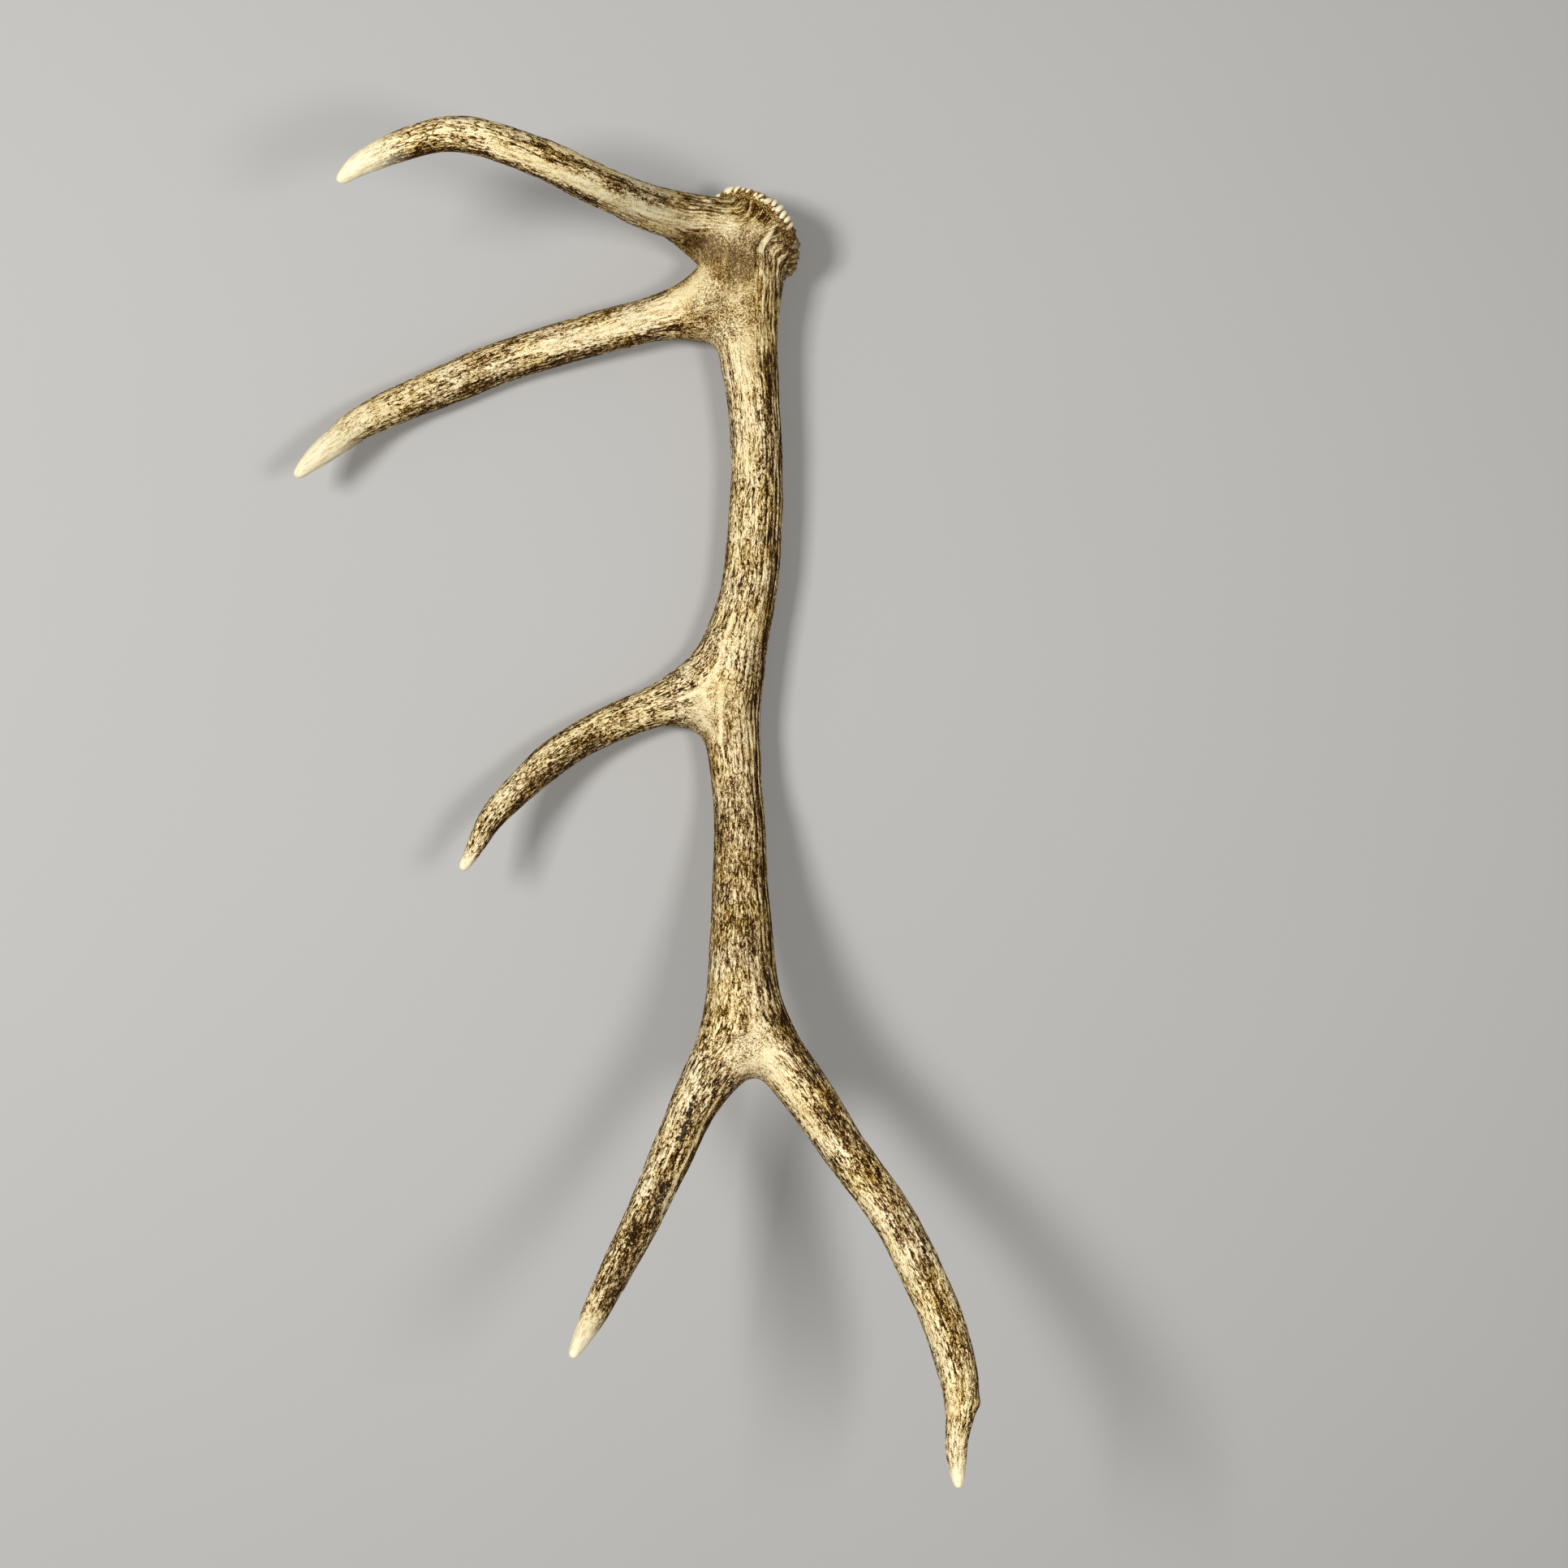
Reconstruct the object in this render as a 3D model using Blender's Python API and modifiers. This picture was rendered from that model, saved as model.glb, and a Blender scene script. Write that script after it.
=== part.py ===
"""A shed deer antler with a brow, a bez and a trez tine and a two-tined fork at its far end.

The antler grew as one branching piece and is parted at its main forks into eight solids. It is
described in its own frame, in millimetres, with the origin near the middle of the burr, the
knobbly ring at its base: X runs across the beam, Y from the far fork toward the burr, and Z out
of the face that the tines curve toward. It is then laid down on its back on the surface Z = 0.
"""

from math import cos, pi, radians, sin

import bmesh
import bpy
import numpy as np
from mathutils import Euler, Matrix, Vector

MM = 0.001
COLLECTION = "deer_antler"

# How the antler lies: two small turns bring its three resting points, under the burr, the bez tine
# and the trez fork, down to one level, and the shift, in metres, centres it over the origin.
LIE_PITCH = radians(-1.15)
LIE_ROLL = radians(-6.9)
LIE_PLACE = Vector((0.1155, 0.4517, 0.0387))

# Rings of the cage: eight points each. Subdivision draws a ring in by ROUNDING, so it starts wider.
SIDES = 8
ROUNDING = (4 + 2 * cos(2 * pi / SIDES)) / 6
RING_STEP = 30.0
GAP = 0.3
TIP_LENGTH = 2.0

# Burr: an oval collar of bone with a ring of pearls on its rim, around the flat seal where the
# antler was joined to the skull. BURR_AXIS points out of the seal.
BURR_CENTRE = Vector((-2.5, -8.5, -2.0))
BURR_AXIS = Vector((0.54, 0.54, -0.64)).normalized()
BURR_RADIUS = 42.0
BURR_THICKNESS = 9.0
SEAL_RADIUS = 29.0
SEAL_PROUD = 2.0
COLLAR_STEPS = 48
PEARLS = 36
PEARL_SIZE = (5.0, 3.2, 4.8)
PEARL_LIFT = 1.5
PEARL_SEED = 4

# The neck, where the antler leaves the burr.
NECK_HALF_WIDTH = 38.5
NECK_HALF_DEPTH = 36.0

# Centre lines, as (x, y, z, half width): points chosen by eye along each branch, in millimetres.
BEAM_LOWER = (
    (-8, -108, -4, 23.2),
    (-5, -134, -6, 21.2),
    (-2, -172, -9, 20.8),
    (-2, -211, -12, 21.1),
    (-4, -250, -14, 22.2),
    (-8, -289, -16, 22.8),
    (-16, -322, -16, 24.6),
)
BEAM_UPPER = (
    (-20, -428, -16, 21.2),
    (-17, -455, -10, 20.0),
    (-15, -487, 1, 20.7),
    (-15, -520, 15, 21.7),
    (-14, -550, 30, 23.8),
    (-13, -580, 47, 26.0),
    (-12, -605, 62, 28.1),
)
BROW_TINE = (
    (-66, 0, 43, 18.6),
    (-85, 0, 72, 17.8),
    (-106, 3, 107, 16.0),
    (-126, 7, 135, 15.6),
    (-157, 17, 163, 14.6),
    (-190, 26, 179, 14.0),
    (-224, 31, 187, 13.2),
    (-259, 22, 190, 11.4),
    (-285, 11, 190, 9.4),
    (-299, 3, 189, 7.0),
    (-306, -4, 188, 4.2),
)
BEZ_TINE = (
    (-74, -72, -3, 18.4),
    (-96, -77, -3, 17.5),
    (-134, -87, -2, 17.0),
    (-171, -98, -2, 16.7),
    (-208, -110, 0, 16.4),
    (-243, -125, 3, 16.4),
    (-278, -141, 11, 14.7),
    (-311, -159, 25, 13.1),
    (-335, -180, 41, 10.8),
    (-351, -196, 53, 7.4),
    (-359, -206, 60, 4.2),
)
TREZ_TINE = (
    (-76, -381, -16, 17.6),
    (-100, -390, -13, 15.7),
    (-136, -407, -4, 14.6),
    (-168, -429, 10, 14.0),
    (-195, -456, 29, 11.9),
    (-211, -475, 43, 9.9),
    (-221, -496, 53, 7.2),
    (-230, -512, 62, 4.0),
)
SHORT_TINE = (
    (-37, -671, 92, 21.2),
    (-48, -690, 102, 18.2),
    (-63, -722, 121, 16.3),
    (-77, -752, 144, 14.7),
    (-91, -781, 171, 13.2),
    (-106, -808, 202, 11.5),
    (-120, -834, 233, 8.6),
    (-130, -852, 256, 3.8),
)
LONG_TINE = (
    (26, -668, 90, 20.5),
    (38, -683, 96, 19.2),
    (58, -713, 107, 17.6),
    (79, -741, 118, 16.8),
    (100, -769, 131, 16.3),
    (117, -799, 145, 16.2),
    (131, -828, 160, 16.0),
    (143, -859, 176, 15.6),
    (149, -885, 190, 14.3),
    (150, -901, 197, 12.2),
    (146, -917, 205, 9.0),
    (145, -937, 215, 7.0),
    (146, -953, 223, 3.6),
)

# Forks, each as its front and back middle and the three points on its outline: beside the left
# branch, in the crotch between the branches, and beside the right branch.
BROW_FORK = {
    "front": (-16, -12, 40),
    "back": (-22, -42, -30),
    "left": (-45, 17, 10),
    "crotch": (-47, -22, 3),
    "right": (20, -47, 0),
}
BEZ_FORK = {
    "front": (-20, -66, 27),
    "back": (-20, -68, -32),
    "left": (-47, -36, -1),
    "crotch": (-33, -91, -4),
    "right": (15, -76, -3),
}
TREZ_FORK = {
    "front": (-27, -371, 9),
    "back": (-27, -388, -45),
    "left": (-52, -344, -18),
    "crotch": (-43, -404, -15),
    "right": (0, -386, -18),
}
FAR_FORK = {
    "front": (-9, -633, 105),
    "back": (-9, -648, 62),
    "left": (-43, -634, 81),
    "crotch": (-2, -667, 92),
    "right": (26, -634, 81),
}

# Each solid is cut off square to its branch, this far along the branch's centre line.
CUT_PLACE = 8.0

# A tine is a little flatter than it is wide, and the beam is nearly round.
TINE_DEPTH = 0.94
BEAM_DEPTH = 0.98

# Each branch by name, and each solid: a point inside it, the cut at its end nearer the burr, the
# cuts at its other ends and how dark its bone is.
BRANCHES = {
    "brow": BROW_TINE,
    "bez": BEZ_TINE,
    "lower": BEAM_LOWER,
    "trez": TREZ_TINE,
    "upper": BEAM_UPPER,
    "short": SHORT_TINE,
    "long": LONG_TINE,
}
NODES = {
    "burr_base": (BROW_FORK["front"], None, ("brow", "bez", "lower"), 0.85),
    "brow_tine": (BROW_TINE[-1][:3], "brow", (), 1.0),
    "bez_tine": (BEZ_TINE[-1][:3], "bez", (), 1.1),
    "beam_lower": (BEAM_LOWER[3][:3], "lower", ("trez", "upper"), 0.95),
    "trez_tine": (TREZ_TINE[-1][:3], "trez", (), 1.0),
    "beam_upper": (BEAM_UPPER[3][:3], "upper", ("short", "long"), 0.9),
    "short_fork_tine": (SHORT_TINE[-1][:3], "short", (), 1.05),
    "long_fork_tine": (LONG_TINE[-1][:3], "long", (), 1.0),
}

SHARP_ANGLE = radians(40.0)
BONE = (0.52, 0.42, 0.26, 1.0)
BONE_ROUGHNESS = 0.62


def scene_collection(name):
    """A new collection in the scene."""
    collection = bpy.data.collections.new(name)
    bpy.context.scene.collection.children.link(collection)
    return collection


def bone_material(name, shade):
    """Dry antler, the base colour darkened by shade."""
    material = bpy.data.materials.new(name)
    material.use_nodes = True
    shader = material.node_tree.nodes["Principled BSDF"]
    shader.inputs["Base Color"].default_value = [channel * shade for channel in BONE[:3]] + [1.0]
    shader.inputs["Roughness"].default_value = BONE_ROUGHNESS
    shader.inputs["Metallic"].default_value = 0.0
    return material


def smooth_curve(stations, step):
    """Values spaced evenly along the natural cubic curve through the stations, with its slopes."""
    points = np.array(stations, dtype=float)
    spans = np.linalg.norm(np.diff(points[:, :3], axis=0), axis=1)
    knots = np.concatenate(([0.0], np.cumsum(spans)))
    system = np.eye(len(points))
    change = np.zeros_like(points)
    for i in range(1, len(points) - 1):
        before, after = spans[i - 1], spans[i]
        system[i, i - 1 : i + 2] = before / 6, (before + after) / 3, after / 6
        change[i] = (points[i + 1] - points[i]) / after - (points[i] - points[i - 1]) / before
    bend = np.linalg.solve(system, change)

    places = np.linspace(0.0, knots[-1], max(2, round(knots[-1] / step) + 1))
    i = np.clip(np.searchsorted(knots, places, side="right") - 1, 0, len(spans) - 1)
    span = spans[i, None]
    b = (places[:, None] - knots[i, None]) / span
    a = 1.0 - b
    values = a * points[i] + b * points[i + 1]
    values += ((a**3 - a) * bend[i] + (b**3 - b) * bend[i + 1]) * span**2 / 6
    slopes = (points[i + 1] - points[i]) / span
    slopes += ((3 * b**2 - 1) * bend[i + 1] - (3 * a**2 - 1) * bend[i]) * span / 6
    return values, slopes[:, :3]


def add_ring(mesh, centre, along, half_width, half_depth):
    """Eight points around the centre, from the left side by the front to the right and the back."""
    across = along.cross(Vector((0.0, 0.0, 1.0))).normalized()
    front = across.cross(along).normalized()
    ring = []
    for i in range(SIDES):
        angle = 2 * pi * i / SIDES
        offset = across * cos(angle) * half_width + front * sin(angle) * half_depth
        ring.append(mesh.verts.new(centre + offset / ROUNDING))
    return ring


def bridge(mesh, first, second):
    """A band of quads from one ring to the next."""
    for i in range(SIDES):
        j = (i + 1) % SIDES
        mesh.faces.new((first[i], second[i], second[j], first[j]))


def add_fork(mesh, outline):
    """The three half rings in which a fork's branches meet.

    Returns the rings that end the branch before the fork, and begin its left and right branches.
    """
    front = Vector(outline["front"])
    back = Vector(outline["back"])
    middle = (front + back) / 2
    half = (front - back) / 2
    poles = mesh.verts.new(middle + half / ROUNDING), mesh.verts.new(middle - half / ROUNDING)
    arcs = {}
    for side in ("left", "crotch", "right"):
        reach = Vector(outline[side]) - middle
        arcs[side] = []
        for i in range(1, SIDES // 2):
            angle = 2 * pi * i / SIDES
            offset = reach * sin(angle) + half * cos(angle)
            arcs[side].append(mesh.verts.new(middle + offset / ROUNDING))

    def loop(left, right):
        upper_left, outer_left, lower_left = arcs[left]
        return [outer_left, upper_left, poles[0], *arcs[right], poles[1], lower_left]

    return loop("left", "right"), loop("left", "crotch"), loop("crotch", "right")


def add_branch(mesh, stations, depth_ratio):
    """The rings along a branch, joined to each other."""
    values, slopes = smooth_curve(stations, RING_STEP)
    rings = []
    for (x, y, z, half_width), slope in zip(values, slopes):
        along = Vector(slope).normalized()
        rings.append(add_ring(mesh, Vector((x, y, z)), along, half_width, half_width * depth_ratio))
    for first, second in zip(rings, rings[1:]):
        bridge(mesh, first, second)
    return rings


def add_tine(mesh, stations, root):
    """A branch that starts from a fork's ring and closes in a tip."""
    rings = add_branch(mesh, stations, TINE_DEPTH)
    bridge(mesh, root, rings[0])
    values, slopes = smooth_curve(stations, RING_STEP)
    tip = mesh.verts.new(Vector(values[-1][:3]) + Vector(slopes[-1]).normalized() * TIP_LENGTH)
    for i in range(SIDES):
        mesh.faces.new((rings[-1][i], tip, rings[-1][(i + 1) % SIDES]))


def antler_cage():
    """The whole antler as one closed cage of rings."""
    mesh = bmesh.new()
    neck = add_ring(mesh, BURR_CENTRE, -BURR_AXIS, NECK_HALF_WIDTH, NECK_HALF_DEPTH)
    mesh.faces.new(neck)

    before_brow, brow_root, below_brow = add_fork(mesh, BROW_FORK)
    before_bez, bez_root, below_bez = add_fork(mesh, BEZ_FORK)
    before_trez, trez_root, below_trez = add_fork(mesh, TREZ_FORK)
    before_far, short_root, long_root = add_fork(mesh, FAR_FORK)

    lower = add_branch(mesh, BEAM_LOWER, BEAM_DEPTH)
    upper = add_branch(mesh, BEAM_UPPER, BEAM_DEPTH)
    for first, second in (
        (neck, before_brow),
        (below_brow, before_bez),
        (below_bez, lower[0]),
        (lower[-1], before_trez),
        (below_trez, upper[0]),
        (upper[-1], before_far),
    ):
        bridge(mesh, first, second)

    add_tine(mesh, BROW_TINE, brow_root)
    add_tine(mesh, BEZ_TINE, bez_root)
    add_tine(mesh, TREZ_TINE, trez_root)
    add_tine(mesh, SHORT_TINE, short_root)
    add_tine(mesh, LONG_TINE, long_root)
    return mesh


def object_from(mesh, name, collection):
    """A new object that holds the mesh."""
    data = bpy.data.meshes.new(name)
    mesh.to_mesh(data)
    mesh.free()
    made = bpy.data.objects.new(name, data)
    collection.objects.link(made)
    return made


def evaluated_mesh(thing):
    """The object's mesh with its modifiers, as a new bmesh."""
    graph = bpy.context.evaluated_depsgraph_get()
    data = bpy.data.meshes.new_from_object(thing.evaluated_get(graph))
    mesh = bmesh.new()
    mesh.from_mesh(data)
    bpy.data.meshes.remove(data)
    return mesh


def smooth_antler(collection):
    """The cage after subdivision, in one piece."""
    cage = object_from(antler_cage(), "cage", collection)
    smoothing = cage.modifiers.new("smoothing", "SUBSURF")
    smoothing.levels = 1
    smoothing.render_levels = 1
    mesh = evaluated_mesh(cage)
    bpy.data.objects.remove(cage)
    return mesh


def cut_planes():
    """A point and a direction, away from the burr, for each cut between two solids."""
    planes = {}
    for name, stations in BRANCHES.items():
        values, slopes = smooth_curve(stations, CUT_PLACE)
        planes[name] = Vector(values[1][:3]), Vector(slopes[1]).normalized()
    return planes


def joined_to(start):
    """All vertices connected with the start."""
    found = {start}
    waiting = [start]
    while waiting:
        vertex = waiting.pop()
        for edge in vertex.link_edges:
            other = edge.other_vert(vertex)
            if other not in found:
                found.add(other)
                waiting.append(other)
    return found


def cut_off(mesh, point, away, keep):
    """Cut the mesh at a plane, keep the piece around a point and close it with a flat face."""
    everything = [*mesh.verts, *mesh.edges, *mesh.faces]
    bmesh.ops.bisect_plane(
        mesh, geom=everything, dist=1e-4, plane_co=point, plane_no=away, clear_outer=True
    )
    nearest = min(mesh.verts, key=lambda vertex: (vertex.co - keep).length)
    kept = joined_to(nearest)
    loose = [vertex for vertex in mesh.verts if vertex not in kept]
    bmesh.ops.delete(mesh, geom=loose, context="VERTS")
    rim = [edge for edge in mesh.edges if edge.is_boundary]
    bmesh.ops.holes_fill(mesh, edges=rim, sides=0)


def part_from(whole, keep, near_cut, far_cuts, planes):
    """A closed copy of the piece of the antler that lies between the cuts."""
    mesh = whole.copy()
    if near_cut:
        point, along = planes[near_cut]
        cut_off(mesh, point + along * GAP / 2, -along, keep)
    for name in far_cuts:
        point, along = planes[name]
        cut_off(mesh, point - along * GAP / 2, along, keep)
    bmesh.ops.recalc_face_normals(mesh, faces=mesh.faces)
    return mesh


def collar_profile():
    """The burr's outline from the middle of the seal over the rim to its underside."""
    top = BURR_THICKNESS / 2
    return (
        (0.0, top + SEAL_PROUD),
        (SEAL_RADIUS, top + SEAL_PROUD),
        (SEAL_RADIUS + 2.0, top),
        (BURR_RADIUS - 4.0, top - 1.0),
        (BURR_RADIUS, 0.0),
        (BURR_RADIUS - 1.5, -top + 1.0),
        (BURR_RADIUS - 6.0, -top - 3.0),
        (0.0, -top - 3.0),
    )


def place_on_burr(thing):
    """Turn an object made around +Z onto the burr's axis."""
    across = (-BURR_AXIS).cross(Vector((0.0, 0.0, 1.0))).normalized()
    front = BURR_AXIS.cross(across)
    turn = Matrix((across, front, BURR_AXIS)).transposed().to_4x4()
    thing.matrix_world = Matrix.Translation(BURR_CENTRE) @ turn


def burr_collar(collection):
    """The collar of the burr, turned from its profile."""
    mesh = bmesh.new()
    points = [mesh.verts.new((radius, 0.0, height)) for radius, height in collar_profile()]
    for first, second in zip(points, points[1:]):
        mesh.edges.new((first, second))
    collar = object_from(mesh, "collar", collection)
    turn = collar.modifiers.new("turn", "SCREW")
    turn.steps = COLLAR_STEPS
    turn.render_steps = COLLAR_STEPS
    turn.use_merge_vertices = True
    turn.merge_threshold = 0.0001
    place_on_burr(collar)
    return collar


def burr_pearls(collection):
    """The pearls around the rim, each an oval bead that leans with the rim."""
    mesh = bmesh.new()
    spread = np.random.default_rng(PEARL_SEED)
    for i in range(PEARLS):
        angle = 2 * pi * (i + spread.uniform(-0.15, 0.15)) / PEARLS
        size = spread.uniform(0.8, 1.0)
        lift = spread.uniform(-PEARL_LIFT, PEARL_LIFT)
        shape = Matrix.Diagonal((*(half * size for half in PEARL_SIZE), 1.0))
        outward = Matrix.Translation((BURR_RADIUS - PEARL_SIZE[0] / 2, 0.0, lift))
        place = Matrix.Rotation(angle, 4, "Z") @ outward @ shape
        bmesh.ops.create_uvsphere(mesh, u_segments=8, v_segments=5, radius=1.0, matrix=place)
    pearls = object_from(mesh, "pearls", collection)
    place_on_burr(pearls)
    return pearls


def fuse(base, added):
    """A Boolean union of the added object into the base."""
    union = base.modifiers.new(added.name, "BOOLEAN")
    union.operation = "UNION"
    union.solver = "EXACT"
    union.use_self = True
    union.object = added
    added.hide_render = True
    added.display_type = "WIRE"


def main():
    for thing in list(bpy.data.objects):
        bpy.data.objects.remove(thing)
    parts = scene_collection(COLLECTION)
    cutters = scene_collection("cutters")

    lie = bpy.data.objects.new("antler_lie", None)
    lie.rotation_euler = Euler((LIE_PITCH, LIE_ROLL, 0.0))
    lie.location = LIE_PLACE
    lie.scale = (MM, MM, MM)
    parts.objects.link(lie)

    whole = smooth_antler(cutters)
    planes = cut_planes()
    for name, (keep, near_cut, far_cuts, shade) in NODES.items():
        part = object_from(part_from(whole, Vector(keep), near_cut, far_cuts, planes), name, parts)
        part.parent = lie
        part.data.materials.append(bone_material(name, shade))
        part.data.shade_smooth()
        part.data.set_sharp_from_angle(angle=SHARP_ANGLE)
    whole.free()

    burr = bpy.data.objects["burr_base"]
    for added in (burr_collar(cutters), burr_pearls(cutters)):
        added.parent = lie
        fuse(burr, added)


main()
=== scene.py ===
"""The looks of a shed deer antler: its grooved and stained bone, its burr and a plain studio.

The bone is drawn in the antler's own frame, in millimetres, with the origin near the middle of the
burr: X runs across the beam, Y from the far fork toward the burr, and Z out of the face that the
tines curve toward. It is then laid down the way the frame's solids lie, in metres.
"""

from math import cos, pi, radians, sin

import bmesh
import bpy
import numpy as np
from mathutils import Euler, Matrix, Vector
from mathutils.bvhtree import BVHTree


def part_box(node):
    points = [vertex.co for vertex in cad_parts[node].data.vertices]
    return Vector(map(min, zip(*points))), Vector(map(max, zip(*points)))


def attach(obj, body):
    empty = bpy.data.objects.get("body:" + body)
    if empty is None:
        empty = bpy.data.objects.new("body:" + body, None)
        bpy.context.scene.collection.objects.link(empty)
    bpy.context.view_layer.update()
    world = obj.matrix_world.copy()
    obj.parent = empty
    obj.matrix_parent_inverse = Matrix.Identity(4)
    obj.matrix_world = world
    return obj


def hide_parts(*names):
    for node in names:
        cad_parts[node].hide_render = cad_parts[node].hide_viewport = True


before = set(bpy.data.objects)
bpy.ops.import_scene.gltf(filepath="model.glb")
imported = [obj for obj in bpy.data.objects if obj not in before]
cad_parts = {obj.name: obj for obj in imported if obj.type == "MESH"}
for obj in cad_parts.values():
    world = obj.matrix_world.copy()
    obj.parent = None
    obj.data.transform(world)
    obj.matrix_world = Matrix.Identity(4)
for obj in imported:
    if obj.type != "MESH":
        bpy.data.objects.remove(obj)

bl_info = {
    "name": "Deer Antler",
    "version": (1, 0, 0),
    "blender": (4, 5, 0),
    "location": "3D View > Sidebar > Antler",
    "description": "Grows a branching deer antler with a pearled burr, worn bone and a plain studio",
    "category": "Add Mesh",
}

BODY = "root"
MM = 0.001

# How the antler lies on its back: two small turns and a shift in metres.
LIE_PITCH = radians(-1.15)
LIE_ROLL = radians(-6.9)
LIE_PLACE = Vector((0.1155, 0.4517, 0.0387))
LIE_TURN = Euler((LIE_PITCH, LIE_ROLL, 0.0))
LIE = Matrix.LocRotScale(LIE_PLACE, LIE_TURN, (MM, MM, MM))

# Rings of the cage: eight points each. Subdivision draws a ring in by ROUNDING, so it starts wider.
SIDES = 8
ROUNDING = (4 + 2 * cos(2 * pi / SIDES)) / 6
RING_STEP = 15.0
TIP_LENGTH = 2.0

# How fast the grain narrows after a fork, as millimetres of radius for each millimetre along.
GIRTH_EASE = 0.2

# The burr at the antler's base. BURR_AXIS points out of the seal.
BURR_CENTRE = Vector((-2.5, -8.5, -2.0))
BURR_AXIS = Vector((0.54, 0.54, -0.64)).normalized()
BURR_ACROSS = (-BURR_AXIS).cross(Vector((0.0, 0.0, 1.0))).normalized()
BURR_FRONT = BURR_AXIS.cross(BURR_ACROSS)
LIP_HALF_WIDTH = 39.0
LIP_HALF_DEPTH = 37.0
LIP_DROP = 3.5
LIP_TUCK = 4.0
THROAT_SHARE = 0.28
THROAT_PULL = 0.92

# The side of the rim whose pearls are rubbed pale, and the corner that stands out farther than
# the rest, as angles around the burr, with how far it stands out.
WORN_SIDE = radians(58)
CORNER_SIDE = radians(6)
CORNER_REACH = 4.0

# Centre lines, as (x, y, z, half width): points given along each branch, in millimetres.
BEAM_LOWER = (
    (-8, -108, -4, 23.2),
    (-5, -134, -6, 21.2),
    (-2, -172, -9, 20.8),
    (-2, -211, -12, 21.1),
    (-4, -250, -14, 22.2),
    (-8, -289, -16, 22.8),
    (-16, -322, -16, 24.6),
)
BEAM_UPPER = (
    (-20, -428, -16, 21.2),
    (-17, -455, -10, 20.0),
    (-15, -487, 1, 20.7),
    (-15, -520, 15, 21.7),
    (-14, -550, 30, 23.8),
    (-13, -580, 47, 26.0),
    (-12, -605, 62, 28.1),
)
BROW_TINE = (
    (-66, 0, 43, 18.6),
    (-85, 0, 72, 17.8),
    (-106, 3, 107, 16.0),
    (-126, 7, 135, 15.6),
    (-157, 17, 163, 14.6),
    (-190, 26, 179, 14.0),
    (-224, 31, 187, 13.2),
    (-259, 22, 190, 11.4),
    (-285, 11, 190, 9.4),
    (-299, 3, 189, 7.0),
    (-306, -4, 188, 4.2),
)
BEZ_TINE = (
    (-74, -72, -3, 18.4),
    (-96, -77, -3, 17.5),
    (-134, -87, -2, 17.0),
    (-171, -98, -2, 16.7),
    (-208, -110, 0, 16.4),
    (-243, -125, 3, 16.4),
    (-278, -141, 11, 14.7),
    (-311, -159, 25, 13.1),
    (-335, -180, 41, 10.8),
    (-351, -196, 53, 7.4),
    (-359, -206, 60, 4.2),
)
TREZ_TINE = (
    (-76, -381, -16, 17.6),
    (-100, -390, -13, 15.7),
    (-136, -407, -4, 14.6),
    (-168, -429, 10, 14.0),
    (-195, -456, 29, 11.9),
    (-211, -475, 43, 9.9),
    (-221, -496, 53, 7.2),
    (-230, -512, 62, 4.0),
)
SHORT_TINE = (
    (-37, -671, 92, 21.2),
    (-48, -690, 102, 18.2),
    (-63, -722, 121, 16.3),
    (-77, -752, 144, 14.7),
    (-91, -781, 171, 13.2),
    (-106, -808, 202, 11.5),
    (-120, -834, 233, 8.6),
    (-130, -852, 256, 3.8),
)
LONG_TINE = (
    (26, -668, 90, 20.5),
    (38, -683, 96, 19.2),
    (58, -713, 107, 17.6),
    (79, -741, 118, 16.8),
    (100, -769, 131, 16.3),
    (117, -799, 145, 16.2),
    (131, -828, 160, 16.0),
    (143, -859, 176, 15.6),
    (149, -885, 190, 14.3),
    (150, -901, 197, 12.2),
    (146, -917, 205, 9.0),
    (145, -937, 215, 7.0),
    (146, -953, 223, 3.6),
)

# Forks, each as its front and back middle, the three points on its outline (beside the left
# branch, in the crotch between the branches, and beside the right branch) and its mean radius.
BROW_FORK = {
    "front": (-16, -12, 40),
    "back": (-22, -42, -30),
    "left": (-45, 17, 10),
    "crotch": (-47, -22, 3),
    "right": (20, -47, 0),
    "girth": 30,
}
BEZ_FORK = {
    "front": (-20, -66, 27),
    "back": (-20, -68, -32),
    "left": (-47, -36, -1),
    "crotch": (-33, -91, -4),
    "right": (15, -76, -3),
    "girth": 26,
}
TREZ_FORK = {
    "front": (-27, -371, 9),
    "back": (-27, -388, -45),
    "left": (-52, -344, -18),
    "crotch": (-43, -404, -15),
    "right": (0, -386, -18),
    "girth": 25,
}
FAR_FORK = {
    "front": (-9, -633, 105),
    "back": (-9, -648, 62),
    "left": (-43, -634, 81),
    "crotch": (-2, -667, 92),
    "right": (26, -634, 81),
    "girth": 25,
}
FORKS = (BROW_FORK, BEZ_FORK, TREZ_FORK, FAR_FORK)

# A tine is a little flatter than it is wide, and the beam is nearly round.
TINE_DEPTH = 0.94
BEAM_DEPTH = 0.98

# The branches in the order in which the cage numbers them, each with its own piece and the piece
# that it grows from. The stem runs from the burr past the brow and bez forks.
BRANCHES = {
    "stem": ("burr_base", "burr_base"),
    "brow": ("brow_tine", "burr_base"),
    "bez": ("bez_tine", "burr_base"),
    "lower": ("beam_lower", "burr_base"),
    "trez": ("trez_tine", "beam_lower"),
    "upper": ("beam_upper", "beam_lower"),
    "short": ("short_fork_tine", "beam_upper"),
    "long": ("long_fork_tine", "beam_upper"),
}
BRANCH_NAMES = list(BRANCHES)
BEAM_BRANCHES = ("stem", "lower", "upper")
PIECES = [piece for piece, _ in BRANCHES.values()]
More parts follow.
